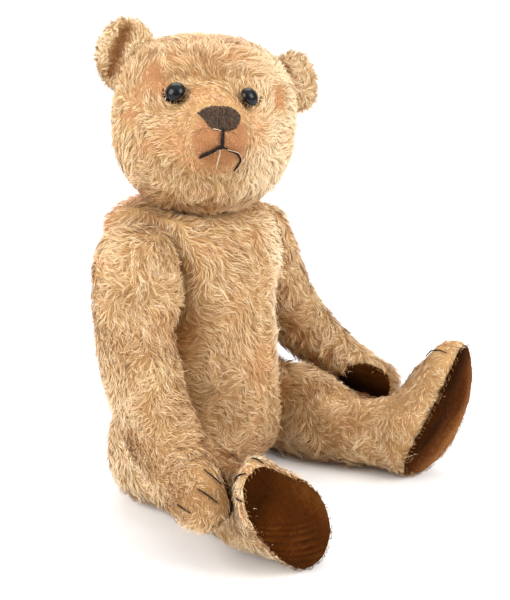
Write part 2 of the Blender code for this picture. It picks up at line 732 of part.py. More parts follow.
def add_leg(side, parent):
    """Cover with an open foot, stuffing, the velvet sole that closes it, and claws."""
    name = "leg_" + SIDE_NAME[side]
    outwards = Vector((side, 0, 0))
    rings = leg_rings(side)
    skin = loft(rings, last_cap=False)
    tree = BVHTree.FromBMesh(skin)
    rim_middle = sum(rings[-1], Vector()) / LEG_SIDES
    fill_end = [rim_middle.lerp(point, SOLE_FILL) for point in rings[-1]]
    add_limb_fill(name, rings[:-1] + [fill_end], HIP[side], outwards, DISC_RADIUS["hip"], parent)
    add_limb_cover(name, skin, HIP[side], outwards, parent)
    rim = rings[-1]
    toe, heel = rim[LEG_SIDES // 4], rim[3 * LEG_SIDES // 4]
    wide = rim[0] - rim[LEG_SIDES // 2]
    facing = wide.cross(toe - heel).normalized()
    if facing.dot(leg_direction(side)) < 0.0:
        facing = -facing
    pad = []
    for size in (1.0, 0.8, 0.55, 0.28):
        rise = PAD_LIFT + SOLE_DOME[side] * (1.0 - size * size)
        pad.append([rim_middle.lerp(point, size) + facing * rise for point in rim])
    pad.append(rim_middle + facing * (PAD_LIFT + SOLE_DOME[side]))
    sole = add_object("sole_pad_" + SIDE_NAME[side], sheet(pad, facing), "velvet", parent)
    thicken(sole, PAD_CLOTH, 1.0)
    up = (toe - heel).normalized()
    across = up.cross(facing).normalized()
    toe_middle = heel.lerp(toe, TOE_PLACE)
    for k, (degrees, length) in enumerate(FOOT_CLAWS[side], 1):
        turn = math.radians(degrees)
        direction = up * math.cos(turn) + across * math.sin(turn)
        starts = [toe_middle - facing * (0.002 + length * j / 3.0) for j in range(4)]
        stitch = lay_stitch(tree, [start + direction * 0.08 for start in starts], -direction, CLAW_THREAD)
        add_object("foot_claw_{}_{}".format(SIDE_NAME[side], k), stitch, "thread", parent)


def main():
    for old in list(bpy.data.objects):
        bpy.data.objects.remove(old, do_unlink=True)
    add_torso()
    neck = add_empty("neck_axis", NECK)
    add_head(neck)
    add_joint("neck", NECK, UP, DISC_RADIUS["neck"], neck)
    for side in (1, -1):
        outwards = Vector((side, 0, 0))
        shoulder = add_empty("shoulder_axis_" + SIDE_NAME[side], SHOULDER[side])
        add_arm(side, shoulder)
        add_joint("shoulder_" + SIDE_NAME[side], SHOULDER[side], outwards, DISC_RADIUS["shoulder"], shoulder)
        hip = add_empty("hip_axis_" + SIDE_NAME[side], HIP[side])
        add_leg(side, hip)
        add_joint("hip_" + SIDE_NAME[side], HIP[side], outwards, DISC_RADIUS["hip"], hip)


main()
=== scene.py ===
"""The looks of an old, worn mohair teddy bear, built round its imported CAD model.

Each skin is a copy of its CAD cover, swelled by a short cloth simulation. The pile on it is real strands
of mohair, grouped in locks that follow a combing direction, and thin or missing where the bear is worn.
"""

import json
import math
from dataclasses import dataclass
from typing import Callable

import bmesh
import bpy
import numpy as np
from mathutils import Euler, Matrix, Vector
from mathutils.bvhtree import BVHTree
from mathutils.kdtree import KDTree


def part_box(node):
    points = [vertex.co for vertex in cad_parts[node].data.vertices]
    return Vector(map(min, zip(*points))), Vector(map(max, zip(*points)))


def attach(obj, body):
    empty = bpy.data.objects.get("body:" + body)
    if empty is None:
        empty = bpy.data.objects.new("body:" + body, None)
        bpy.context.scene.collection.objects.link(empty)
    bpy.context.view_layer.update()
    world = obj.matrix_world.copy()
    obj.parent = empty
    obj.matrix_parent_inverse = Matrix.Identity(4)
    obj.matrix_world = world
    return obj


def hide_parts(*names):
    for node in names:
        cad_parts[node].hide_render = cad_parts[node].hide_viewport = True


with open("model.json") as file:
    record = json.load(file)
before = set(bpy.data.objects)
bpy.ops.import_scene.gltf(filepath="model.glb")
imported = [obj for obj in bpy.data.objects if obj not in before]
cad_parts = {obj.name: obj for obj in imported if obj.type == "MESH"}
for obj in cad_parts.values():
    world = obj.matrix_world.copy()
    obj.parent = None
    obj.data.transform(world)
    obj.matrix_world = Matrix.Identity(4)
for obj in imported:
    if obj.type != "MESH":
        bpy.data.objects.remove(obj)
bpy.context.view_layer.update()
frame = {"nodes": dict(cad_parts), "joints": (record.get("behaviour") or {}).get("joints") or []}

SIDES = {"left": 1.0, "right": -1.0}
X, Y, Z = 0, 1, 2
FLOOR = 0.0005  # the lowest that pile and threads reach
RNG = np.random.default_rng(1907)

# The head's own axes: x to its left, y to its back, z up
HEAD_CENTRE = np.array((0.0, -0.004, 0.292))
HEAD_TURN = np.array(Euler((math.radians(-12), math.radians(5), math.radians(-46)), "XYZ").to_matrix())
HEAD_LEFT, HEAD_BACK, HEAD_UP = HEAD_TURN.T
NOSE_TIP = np.array((0.0, -0.098, 0.004))
JOINTS = {joint["child"]: np.array(joint["pos_m"]) for joint in frame["joints"]}

# Skins and their cloth simulation
VOXEL = 0.0045
EAR_VOXEL = 0.0022
SHARP_EDGE = 1.05  # radians
CLOTH = {"quality": 5, "mass": 0.3, "tension_stiffness": 12.0, "compression_stiffness": 12.0,
         "bending_stiffness": 1.2, "use_pressure": True, "uniform_pressure_force": 4.0}
CLOTH_FRAMES = 20
SWELL_CAP = 0.0016
SEAM_FLAT = 0.038  # round a joint the skins stay where they press on each other
SEAM_FADE = 0.02
SEWN = 0.0016  # how deep a seam draws the cloth in

# Pile
PILE = "pile"
HALF_WIDTHS = np.array((0.5, 0.5, 0.4))  # of a strand at each of its segments, to its width
SEGMENTS = len(HALF_WIDTHS)
FUR_DENSITY = 600000.0  # strands a square metre, for the size of the locks
BALDING = 0.84  # how much shorter the pile is where the skin is bare
TIDY_LOCKS = 0.97  # the share of locks that lie with the rest
SHORTEST = 0.0011
PRESSED = (0.002, 0.006)  # the gaps between skins over which crushed pile thins out
FLOOR_GAP, FACING_DOWN = 0.004, -0.6  # what counts as lying on the floor, where little pile is left
PAD_FACING = 0.72  # how squarely a pad has to face the skin that it covers
NECK_HEIGHTS, NECK_HALF_WIDTH = (0.198, 0.212), 0.060  # where the pile stands up round the neck
NECK_RISE, HUMP_RISE = 0.006, 0.003

# Camera
CAMERA_TURN = math.radians(-52.0)
CAMERA_RISE = math.radians(17.0)
CAMERA_DISTANCE = 1.15
CAMERA_ABOUT = np.array((0.0, 0.0, 0.18))
CAMERA_AIM = np.array((0.0200, -0.0398, 0.1512))
CAMERA_LENS = 87.0
LEVEL = np.array((math.cos(CAMERA_TURN), math.sin(CAMERA_TURN), 0.0))  # to the camera's right
BACK = np.array((math.sin(CAMERA_TURN), -math.cos(CAMERA_TURN), 0.0))  # towards the camera
RISE = np.array((0.0, 0.0, 1.0))


# Small helpers
def smooth_step(value, low, high):
    share = np.clip((value - low) / (high - low), 0.0, 1.0)
    return share * share * (3.0 - 2.0 * share)


def past(points, axis, start, end):
    """0 before the start and 1 past the end, along one axis, either way."""
    return smooth_step(points[:, axis], start, end)


def most(*looks):
    return np.maximum.reduce(looks)


def plain(value):
    return lambda points, normals: np.full(len(points), value)


def unit(vectors):
    return vectors / np.maximum(np.linalg.norm(vectors, axis=-1, keepdims=True), 1e-12)


def tangent(vectors, normals):
    return unit(vectors - normals * (vectors * normals).sum(-1, keepdims=True))


def to_head(points):
    return (points - HEAD_CENTRE) @ HEAD_TURN


def from_head(points):
    return HEAD_CENTRE + np.asarray(points) @ HEAD_TURN.T


class Waves:
    """Smooth noise about 1 wide either way: a sum of sine waves of about the given length."""

    def __init__(self, length, seed, count=14):
        rng = np.random.default_rng(seed)
        heading = unit(rng.normal(size=(count, 3)))
        self.waves = heading * (2.0 * math.pi / (length * rng.uniform(0.7, 1.5, (count, 1))))
        self.phase = rng.uniform(0.0, 2.0 * math.pi, count)
        self.scale = math.sqrt(2.0 / count)

    def __call__(self, points):
        return np.sin(points @ self.waves.T + self.phase).sum(-1) * self.scale


# Meshes
def new_object(name, data):
    made = bpy.data.objects.new(name, data)
    bpy.context.scene.collection.objects.link(made)
    return made


def object_of(name, points, faces):
    mesh = bpy.data.meshes.new(name)
    mesh.from_pydata(points.tolist(), [], faces)
    return new_object(name, mesh)


def welded(node, distance=0.00001):
    """A CAD node as a bmesh, with the points that its faces share made one."""
    bm = bmesh.new()
    bm.from_mesh(frame["nodes"][node].data)
    bmesh.ops.remove_doubles(bm, verts=bm.verts, dist=distance)
    return bm


def object_from(bm, name):
    mesh = bpy.data.meshes.new(name)
    bm.to_mesh(mesh)
    bm.free()
    return new_object(name, mesh)


def apply_modifiers(made):
    old = made.data
    made.data = bpy.data.meshes.new_from_object(made.evaluated_get(bpy.context.evaluated_depsgraph_get()))
    made.modifiers.clear()
    bpy.data.meshes.remove(old)
    return made


def read(items, name, kind, width=3):
    flat = np.empty(len(items) * width, kind)
    items.foreach_get(name, flat)
    return flat.reshape(-1, width)


def points_of(mesh):
    return read(mesh.vertices, "co", np.float32).astype(float)


def normals_of(mesh):
    return read(mesh.vertex_normals, "vector", np.float32).astype(float)


def triangles_of(mesh):
    mesh.calc_loop_triangles()
    return read(mesh.loop_triangles, "vertices", np.int32)


def set_points(mesh, points):
    mesh.vertices.foreach_set("co", points.astype(np.float32).ravel())
    mesh.update()


def set_colours(mesh, name, values):
    made = mesh.color_attributes.new(name, "FLOAT_COLOR", "POINT")
    made.data.foreach_set("color", values.astype(np.float32).ravel())


def put_on(made, material, body, slot, *stands_for):
    """Gives a piece its material and body, and says which CAD nodes it replaces. The slot is not used."""
    made.data.materials.clear()
    made.data.materials.append(material)
    made.data.shade_smooth()
    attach(made, body)
    if stands_for:
        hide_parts(*stands_for)


def tree_of(*meshes):
    """One search tree over several meshes."""
    points, faces, first = [], [], 0
    for mesh in meshes:
        points.append(points_of(mesh))
        faces.append(triangles_of(mesh) + first)
        first += len(points[-1])
    return BVHTree.FromPolygons(np.concatenate(points).tolist(), np.concatenate(faces).tolist())


def tree_of_nodes(nodes):
    return tree_of(*(frame["nodes"][node].data for node in nodes))


def distance_to(tree, points, limit=0.03):
    found = [tree.find_nearest(Vector(point), limit) for point in points]
    return np.array([limit if hit[0] is None else hit[3] for hit in found])


# Materials
class Nodes:
    """A material with a short way to add nodes to it."""

    def __init__(self, name, roughness, **sockets):
        self.material = bpy.data.materials.new(name)
        self.material.use_nodes = True
        self.tree = self.material.node_tree
        self.shader = self.tree.nodes["Principled BSDF"].inputs
        for socket, value in {"Roughness": roughness, **sockets}.items():
            self.feed(value, self.shader[socket.replace("_", " ")])

    def feed(self, value, socket):
        """Links a node's output to a socket, or sets the socket to a number or a colour."""
        if isinstance(value, bpy.types.NodeSocket):
            self.tree.links.new(value, socket)
        elif isinstance(value, (int, float)):
            socket.default_value = value
        else:
            socket.default_value = (*value, 1.0)

    def add(self, kind, inputs, **settings):
        """A node with its settings, and with values or links for its inputs by number or name."""
        node = self.tree.nodes.new("ShaderNode" + kind)
        for key, value in settings.items():
            setattr(node, key, value)
        for socket, value in inputs.items():
            self.feed(value, node.inputs[socket])
        return node

    def noise(self, size, detail=3.0):
        where = self.add("TexCoord", {}).outputs["Object"]
        scaled = self.add("VectorMath", {0: where}, operation="MULTIPLY")
        scaled.inputs[1].default_value = [1.0 / size] * 3
        made = self.add("TexNoise", {"Vector": scaled.outputs[0], "Scale": 1.0, "Detail": detail})
        return made.outputs["Fac"]

    def ramp(self, value, *stops):
        made = self.add("ValToRGB", {"Fac": value})
        points = made.color_ramp.elements
        while len(points) < len(stops):
            points.new(0.5)
        for point, (at, colour) in zip(points, stops):
            point.position = at
            point.color = (*colour, 1.0)
        return made.outputs["Color"]

    def share(self, value, *stops):
        """A ramp of plain numbers."""
        return self.ramp(value, *[(at, (grey, grey, grey)) for at, grey in stops])

    def mix(self, share, first, second, blend="MIX"):
        return self.add("Mix", {0: share, 6: first, 7: second}, data_type="RGBA", blend_type=blend).outputs[2]

    def times(self, first, second):
        return self.mix(1.0, first, second, "MULTIPLY")

    def maths(self, operation, first, second):
        return self.add("Math", {0: first, 1: second}, operation=operation).outputs[0]

    def channels(self, name):
        found = self.add("VertexColor", {}, layer_name=name).outputs
        split = self.add("SeparateColor", {"Color": found["Color"]}).outputs
        return split[0], split[1], split[2], found["Alpha"]

    def finish(self, colour, grain=None, depth=0.0, strength=1.0):
        """Sets the colour and the bump, and gives back the material."""
        self.feed(colour, self.shader["Base Color"])
        if grain:
            bump = self.add("Bump", {"Height": grain, "Distance": depth, "Strength": strength})
            self.feed(bump.outputs["Normal"], self.shader["Normal"])
        return self.material


def srgb(red, green, blue):
    """A colour given in everyday 0 to 255 values, as the linear one that nodes use."""
    shares = (value / 255 for value in (red, green, blue))
    return tuple(((share + 0.055) / 1.055) ** 2.4 if share > 0.04 else share / 12.92 for share in shares)


def pile_material():
    """Mohair strands: dark at the root, partly their own colour and partly painted shade deep in the pile,
    pale at the tip, each lock its own shade.

    The tone channel runs from rubbed peach, by plain gold at the middle, to ochre, which is stain in some
    places and painted shade in others.
    """
    made = Nodes("mohair_pile", 0.55, Sheen_Weight=0.2, Sheen_Roughness=0.4)
    along, lock, tone, strand = made.channels(PILE)
    colour = made.ramp(along, (0.0, srgb(180, 134, 72)), (0.3, srgb(208, 168, 111)),
                       (0.65, srgb(228, 196, 147)), (1.0, srgb(242, 219, 177)))
    # Dull locks: some at random, and where the dirt values rise above 0, with soil and painted shade
    dull = made.times(colour, srgb(206, 178, 138))
    colour = made.mix(made.share(lock, (0.1, 0.9), (0.6, 0.0)), colour, dull)
    # Pale strands: some at random, and painted light where the dirt values fall below 0
    bleach_and_painted_light = made.share(strand, (0.6, 0.0), (0.85, 0.3), (1.0, 0.75))
    colour = made.mix(bleach_and_painted_light, colour, srgb(251, 236, 204))
    colour = made.mix(made.share(strand, (0.0, 0.6), (0.25, 0.0)), colour, srgb(196, 150, 98))
    peach = made.times(colour, srgb(250, 202, 166))
    ochre = made.times(colour, srgb(196, 158, 108))
    colour = made.mix(made.share(tone, (0.0, 1.0), (0.5, 0.0)), colour, peach)
    return made.finish(made.mix(made.share(tone, (0.5, 0.0), (1.0, 1.0)), colour, ochre))


def backing_material():
    """The woven backing: brown under the pile, a painted shade of the gaps between strands, and peach and
    rubbed where it lies bare.
    """
    made = Nodes("mohair_backing", 0.9)
    bare, tone, dirt_and_painted_light, _ = made.channels("wear_and_painted_light")
    blotch = made.noise(0.009, 4.0)
    # Painted shade: the brown under the pile stands in for the shade in the gaps between strands
    under = made.mix(blotch, srgb(158, 122, 76), srgb(192, 152, 100))
    open_cloth = made.mix(blotch, srgb(152, 100, 60), srgb(178, 128, 82))
    # Darker where the dirt values rise above 0: soil in some places, painted shade in creases and undersides
    # in others
    open_cloth = made.mix(dirt_and_painted_light, open_cloth, made.times(open_cloth, (0.80, 0.70, 0.60)))
    colour = made.mix(bare, under, open_cloth)
    # Ochre by tone: stain in some places, painted shade in others
    ochre = made.times(colour, srgb(186, 158, 112))
    colour = made.mix(made.share(tone, (0.5, 0.0), (1.0, 1.0)), colour, ochre)
    weave = made.maths("ADD", made.noise(0.0007, 2.0), made.maths("MULTIPLY", made.noise(0.0035), 1.5))
    return made.finish(colour, weave, 0.0005, 0.8)


def thread_material(name, dark, light):
    made = Nodes(name, 0.85, Specular_IOR_Level=0.15)
    colour = made.ramp(made.noise(0.0012), (0.3, dark), (0.7, light))
    return made.finish(colour, made.noise(0.0005, 2.0), 0.0002, 0.7)


def button_material(name):
    made = Nodes(name, 0.22, Specular_IOR_Level=0.28)
    colour = made.ramp(made.noise(0.004), (0.3, srgb(5, 5, 6)), (0.8, srgb(14, 13, 13)))
    return made.finish(colour, made.noise(0.0009), 0.00005, 0.4)


def velvet_material(name, dark, middle, bright):
    sheen = {"Sheen_Weight": 0.06, "Sheen_Roughness": 0.3, "Sheen_Tint": bright}
    made = Nodes(name, 0.95, Specular_IOR_Level=0.03, **sheen)
    # The edge channel is painted shade round the rim; the other channel holds the velvet's own nap with
    # painted light and shade across the pad
    edge, nap_and_painted_light, _, _ = made.channels("nap_and_painted_light")
    grain = made.maths("MULTIPLY", made.maths("SUBTRACT", made.noise(0.0016, 4.0), 0.5), 0.5)
    colour = made.ramp(made.maths("ADD", nap_and_painted_light, grain), (0.05, dark), (0.5, middle), (0.95, bright))
    # Painted shade: darker towards the rim
    colour = made.mix(made.maths("MULTIPLY", edge, 0.25), colour, dark)
    return made.finish(colour, made.noise(0.0005, 2.0), 0.0002, 0.6)


def speckled_material(name, roughness, size, first, second, **sockets):
    made = Nodes(name, roughness, **sockets)
    return made.finish(made.mix(made.noise(size), first, second))


# Skins
def spread(first):
    """The faces that can be reached from one face without crossing a sharp edge."""
    reached, waiting = {first}, [first]
    while waiting:
        for edge in waiting.pop().edges:
            if len(edge.link_faces) != 2 or edge.calc_face_angle(0.0) > SHARP_EDGE:
                continue
            for face in edge.link_faces:
                if face not in reached:
                    reached.add(face)
                    waiting.append(face)
    return reached


def cad_walls(node):
    """A CAD shell as a bmesh with its runs of faces that have no sharp edge between them, largest first."""
    bm = welded(node)
    bmesh.ops.recalc_face_normals(bm, faces=bm.faces)
    left, runs = set(bm.faces), []
    while left:
        run = spread(next(iter(left)))
        left -= run
        runs.append((sum(face.calc_area() for face in run), run))
    runs.sort(key=lambda pair: -pair[0])
    return bm, [run for _, run in runs]


def keep_faces(bm, kept):
    bmesh.ops.delete(bm, geom=[face for face in bm.faces if face not in kept], context="FACES")


def closed_skin(name, node, voxel, hollow):
    """A closed, evenly meshed copy of a hollow cover's outer wall, or of a whole solid."""
    bm, walls = cad_walls(node)
    if hollow:
        keep_faces(bm, walls[0])
    bmesh.ops.holes_fill(bm, edges=bm.edges, sides=0)
    bmesh.ops.triangulate(bm, faces=bm.faces)
    bmesh.ops.recalc_face_normals(bm, faces=bm.faces)
    made = object_from(bm, name)
    remesh = made.modifiers.new("even", "REMESH")
    remesh.mode = "VOXEL"
    remesh.voxel_size = voxel
    made.modifiers.new("smooth", "SMOOTH").iterations = 3
    return apply_modifiers(made)


def swell(made, joints):
    """Blows the skin up a little as firm stuffing does, but not where it presses on its neighbour."""
    start = points_of(made.data)
    cloth = made.modifiers.new("cloth", "CLOTH")
    for setting, value in CLOTH.items():
        setattr(cloth.settings, setting, value)
    cloth.settings.effector_weights.gravity = 0.0
    cloth.point_cache.frame_start = 1
    cloth.point_cache.frame_end = CLOTH_FRAMES
    scene = bpy.context.scene
    for number in range(1, CLOTH_FRAMES + 1):
        scene.frame_set(number)
    apply_modifiers(made)
    scene.frame_set(1)
    moved = points_of(made.data) - start
    length = np.linalg.norm(moved, axis=1, keepdims=True)
    moved *= np.minimum(1.0, SWELL_CAP / np.maximum(length, 1e-9))
    free = np.ones(len(start))
    for joint in joints:
        free *= smooth_step(np.linalg.norm(start - joint, axis=1), SEAM_FLAT, SEAM_FLAT + SEAM_FADE)
    points = start + moved * free[:, None]
    points[:, Z] = np.maximum(points[:, Z], 0.0)
    set_points(made.data, points)
    return made


def subdivided(made):
    fine = made.modifiers.new("fine", "SUBSURF")
    fine.levels = fine.render_levels = 1
    return apply_modifiers(made)


# Pile
@dataclass
class Coat:
    """How a skin's pile grows.

    The functions take places and normals. The dirt values dull the pile above 0, which is soil in some places
    and painted shade in others, and pale it below 0, which is mostly painted light.
    Creases say how far the skin is drawn in. Lift is the angle that the strands stand off the skin at, in
    radians.
    """

    comb: Callable
    length: Callable
    tone: Callable
    seed: int
    triangles: int
    worn: Callable = plain(0.0)
    # above 0 soil in some places and painted shade in others, below 0 mostly painted light
    dirt_and_painted_light: Callable = plain(0.0)
    creases: Callable = plain(0.0)
    lift: float = 0.5
    whorl: float = 1.0
    stray: float = 0.22
    lock_size: float = 0.0024
    width: float = 0.00039
    curl: float = 0.0012
    gather: float = 0.55
    crushed: tuple = (0.0022, 1.5, 0.12)  # where skins meet: least length, length to room, share of strands
    clear: float = 0.0065  # how far from a stitch the pile reaches its full length
    pads: tuple = ()  # the velvet pads on the skin, and how near one bares it
    fine: bool = False  # whether the skin is subdivided


def scatter(mesh, keep, count, rng):
    """count random points on a mesh with their smooth normals, as dense as keep says."""
    points, normals, faces = points_of(mesh), normals_of(mesh), triangles_of(mesh)
    corners = points[faces]
    first, second = (corners[:, k] - corners[:, 0] for k in (1, 2))
    area = 0.5 * np.linalg.norm(np.cross(first, second), axis=1)
    weight = area * keep(corners.mean(1), unit(normals[faces].mean(1)))
    chosen = rng.choice(len(faces), count, p=weight / weight.sum())
    a, b = rng.random((2, count))
    flip = a + b > 1.0
    a[flip], b[flip] = 1.0 - a[flip], 1.0 - b[flip]
    shares = np.stack((1.0 - a - b, a, b), 1)[..., None]
    return (corners[chosen] * shares).sum(1), unit((normals[faces[chosen]] * shares).sum(1))


def nearest(centres, points):
    tree = KDTree(len(centres))
    for index, centre in enumerate(centres):
        tree.insert(centre, index)
    tree.balance()
    return np.array([tree.find(point)[1] for point in points])


def under_pads(points, normals, pads):
    """1 where a velvet pad covers the skin and 0 elsewhere."""
    covered = np.zeros(len(points))
    for pad, reach in pads:
        tree = tree_of_nodes([pad])
        for index, point in enumerate(points):
            place, normal, _, _ = tree.find_nearest(Vector(point), reach)
            if place is not None and abs(np.dot(normal, normals[index])) > PAD_FACING:
                covered[index] = 1.0
    return covered


def grow(name, skin, coat, others, details):
    """A mesh of mohair strands on a skin. Each strand is a thin ribbon that bends and ends in a point.

    The others are the pieces that the skin lies against, where the pile is crushed. Round the details,
    such as eyes and stitches, it is short.
    """
    rng = np.random.default_rng(coat.seed)
    count = coat.triangles // (2 * SEGMENTS - 1)
    near = tree_of_nodes(others)
    least, fill, left = coat.crushed

    def density(points, normals):
        share = 1.0 - 0.5 * coat.worn(points, normals)
        share *= left + (1.0 - left) * smooth_step(distance_to(near, points), *PRESSED)
        share *= 1.0 - under_pads(points, normals, coat.pads)
        on_floor = (points[:, Z] < FLOOR_GAP) & (normals[:, Z] < FACING_DOWN)
        return np.where(on_floor, 0.25 * share, share)

    roots, normals = scatter(skin.data, density, count, rng)
    bare = coat.worn(roots, normals)
    locks = max(10, int(count / FUR_DENSITY / coat.lock_size ** 2))
    centre = rng.choice(count, locks, replace=False)
    middles = roots[centre]
    lock = nearest(middles, roots)

    def by_lock(low, high):
        return rng.uniform(low, high, locks)[lock]

    # Combing: one direction a place, turned by whorls, by each lock and by each strand
    turn = 0.9 * Waves(0.045, coat.seed + 1)(middles) + 0.55 * Waves(0.018, coat.seed + 2)(middles)
    turn = (coat.whorl * turn + rng.normal(0.0, coat.stray, locks))[lock] + rng.normal(0.0, 0.12, count)
    forward = tangent(coat.comb(roots, normals), normals)
    along = forward * np.cos(turn)[:, None] + np.cross(normals, forward) * np.sin(turn)[:, None]
    across = np.cross(normals, along)

    # Length: by place, lock and strand, and held to the room that there is
    length = coat.length(roots, normals) * by_lock(0.75, 1.15) * rng.uniform(0.7, 1.1, count)
    stray = (rng.random(locks) > TIDY_LOCKS)[lock]
    length = length * (1.0 - BALDING * bare) * np.where(stray, 1.25, 1.0)
    if details:
        clear = smooth_step(distance_to(tree_of_nodes(details), roots), 0.0016, coat.clear)
        length = length * (0.22 + 0.78 * clear)
    room = distance_to(near, roots + normals * 0.001)
    neck = past(roots, Z, *NECK_HEIGHTS) * smooth_step(NECK_HALF_WIDTH - np.abs(roots[:, X]), 0.0, 0.015)
    hump = on_hump(roots)
    most_room = np.maximum(least + NECK_RISE * neck + NECK_RISE * hump, fill * room)
    length = np.maximum(np.minimum(length + HUMP_RISE * hump, most_room), SHORTEST)

    # Rise, curl and the gathering of a lock's tips
    lift = coat.lift + rng.normal(0.0, 0.14, locks)[lock] + rng.normal(0.0, 0.08, count)
    lift = np.clip(lift + np.where(stray, 0.4, 0.0), 0.2, 1.2)
    lift = lift * np.maximum(np.clip(room / 0.012, 0.35, 1.0), 1.2 * hump)
    curl = coat.curl * by_lock(0.3, 1.3) * rng.choice((-1.0, 1.0), locks)[lock]
    curl = curl * np.minimum(1.0, length / 0.010)
    phase, waves = by_lock(0.0, 2.0 * math.pi), by_lock(0.6, 1.15)
    gather = (middles[lock] - roots) * by_lock(0.6 * coat.gather, 1.4 * coat.gather)[:, None]
    gather *= np.minimum(1.0, length / 0.008)[:, None]
    path = []
    for t in np.arange(SEGMENTS + 1) / SEGMENTS:
        rise = length * (t - 0.52 * t * t) * np.sin(lift)
        sway = curl * (np.sin(2.0 * math.pi * waves * t + phase) - np.sin(phase)) * t ** 0.5
        reach = roots + along * (length * t * np.cos(lift * 0.8))[:, None] + normals * rise[:, None]
        path.append(reach + across * sway[:, None] + gather * t ** 1.2)
    path = np.stack(path, 1)
    path[..., Z] = np.maximum(path[..., Z], FLOOR)

    width = coat.width * rng.uniform(0.75, 1.25, count)
    # the dirt values bring soil, painted shade and painted light into the tints: above 0 they dull a lock,
    # below 0 they pale its strands
    dirt_and_painted_light = coat.dirt_and_painted_light(roots, normals)
    pale = 1.0 - np.clip(-dirt_and_painted_light, 0.0, 1.0)
    shade = 1.0 - (1.0 - rng.random(locks)[lock]) * (0.4 + 0.6 * pale)
    tints = (shade * (1.0 - np.clip(dirt_and_painted_light, 0.0, 1.0)), np.clip(coat.tone(roots, normals), 0.0, 1.0),
             (1.0 - rng.random(count)) * pale + 0.97 * (1.0 - pale))
    return ribbons(name, path, normals, rng.normal(0.0, 0.5, count), width, tints)


def with_edges(edges, tip):
    """Values a strand: each of the edges' twice, for the left and the right edge, and then the tip's."""
    return np.concatenate((np.repeat(edges, 2, axis=1), tip[:, None]), 1)


def ribbons(name, path, normals, roll, width, tints):
    """Ribbons along paths of SEGMENTS + 1 points, with two edges and a pointed tip, lit as their skin is."""
    count, per = len(path), 2 * SEGMENTS + 1
    ahead = unit(np.gradient(path, axis=1))
    flat = unit(np.cross(ahead, normals[:, None, :]))
    upright = np.cross(flat, ahead)
    edge = flat * np.cos(roll)[:, None, None] + upright * np.sin(roll)[:, None, None]
    points = with_edges(path[:, :-1], path[:, -1])
    offset = edge[:, :-1] * (width[:, None] * HALF_WIDTHS)[..., None]
    points[:, 0:-1:2] -= offset
    points[:, 1:-1:2] += offset
    corner = []
    for k in range(SEGMENTS - 1):
        corner += [2 * k, 2 * k + 1, 2 * k + 3, 2 * k + 2]
    corner += [2 * SEGMENTS - 2, 2 * SEGMENTS - 1, 2 * SEGMENTS]
    loops = ((np.arange(count) * per)[:, None] + np.array(corner)).ravel()
    sizes = np.tile([4] * (SEGMENTS - 1) + [3], count)
    mesh = bpy.data.meshes.new(name)
    mesh.vertices.add(count * per)
    mesh.vertices.foreach_set("co", points.astype(np.float32).ravel())
    mesh.loops.add(len(loops))
    mesh.loops.foreach_set("vertex_index", loops.astype(np.int32))
    mesh.polygons.add(len(sizes))
    mesh.polygons.foreach_set("loop_start", np.concatenate(([0], np.cumsum(sizes)[:-1])).astype(np.int32))
    mesh.update(calc_edges=True)
    facing = np.cross(edge, ahead)
    facing *= np.sign((facing * normals[:, None, :]).sum(-1, keepdims=True) + 1e-6)
    facing = unit(0.6 * normals[:, None, :] + 0.4 * facing)
    lit = with_edges(facing[:, :-1], facing[:, -1])
    mesh.shade_smooth()
    mesh.normals_split_custom_set_from_vertices(lit.reshape(-1, 3).astype(np.float32))
    colours = np.empty((count, per, 4))
    colours[..., 0] = np.append(np.repeat(np.arange(SEGMENTS) / SEGMENTS, 2), 1.0)
    for channel, tint in enumerate(tints, 1):
        colours[..., channel] = tint[:, None]
    set_colours(mesh, PILE, colours.reshape(-1, 4))
    return new_object(name, mesh)


# How the bear is worn, by place
def spot(points, centre, radius, soft=0.5):
    """1 inside a ball and 0 outside, with a soft rim."""
    away = np.linalg.norm((points - np.asarray(centre)) / np.asarray(radius), axis=-1)
    return 1.0 - smooth_step(away, 1.0 - soft, 1.0 + soft)


def ridge(away, width):
    return np.exp(-(away / width) ** 2)


def tufty(length, seed):
    """A length that varies a little in patches."""
    return lambda points, normals: length * (1.0 + 0.12 * Waves(0.03, seed)(points))


HEAD_BARE = (  # place and size in the head's axes, in metres, and how bare it is
    ((-0.045, -0.042, 0.030), (0.010, 0.020, 0.012), 0.95),
    ((-0.040, -0.052, 0.022), (0.008, 0.014, 0.009), 0.9),
    ((-0.053, -0.036, 0.014), (0.008, 0.014, 0.010), 0.7),
    ((0.009, -0.049, 0.047), (0.0035, 0.010, 0.003), 0.95),
    ((0.049, -0.041, 0.022), (0.006, 0.010, 0.013), 0.95),
    ((-0.046, -0.046, -0.018), (0.009, 0.010, 0.006), 0.75),
    ((-0.059, -0.033, 0.001), (0.006, 0.010, 0.006), 0.75),
    ((-0.030, -0.052, 0.044), (0.016, 0.012, 0.0022), 0.6),
    ((-0.010, -0.064, 0.019), (0.011, 0.012, 0.007), 0.62),
)
MUZZLE = np.array((0.0025, -0.090, -0.014)), np.array((0.0225, 0.026, 0.0215))
BROW_Z = 0.033  # height of the crease above the eyes
SEAM_HEIGHTS = (0.05, 0.103, 0.143, 0.187, 0.22)
SEAM_SIDEWAYS = (-0.004, -0.002, 0.002, 0.011, 0.014)
HUMP = (-0.028, 0.040, 0.217), (0.040, 0.036, 0.022)
THIGH = (-0.075, -0.068, 0.070)
LEFT_SHANK = (0.078, -0.125, 0.045), (0.05, 0.035, 0.035)
LEFT_TOE = (0.138, -0.142, 0.106), (0.034, 0.030, 0.030)


def head_worn(points, normals):
    local = to_head(points)
    bare = most(*[share * spot(local, centre, size) for centre, size, share in HEAD_BARE],
                0.97 * spot(local, *MUZZLE, 0.22))
    return np.clip(bare + 0.35 * Waves(0.009, 31)(points) * bare * (1.0 - bare) * 2.0, 0.0, 1.0)


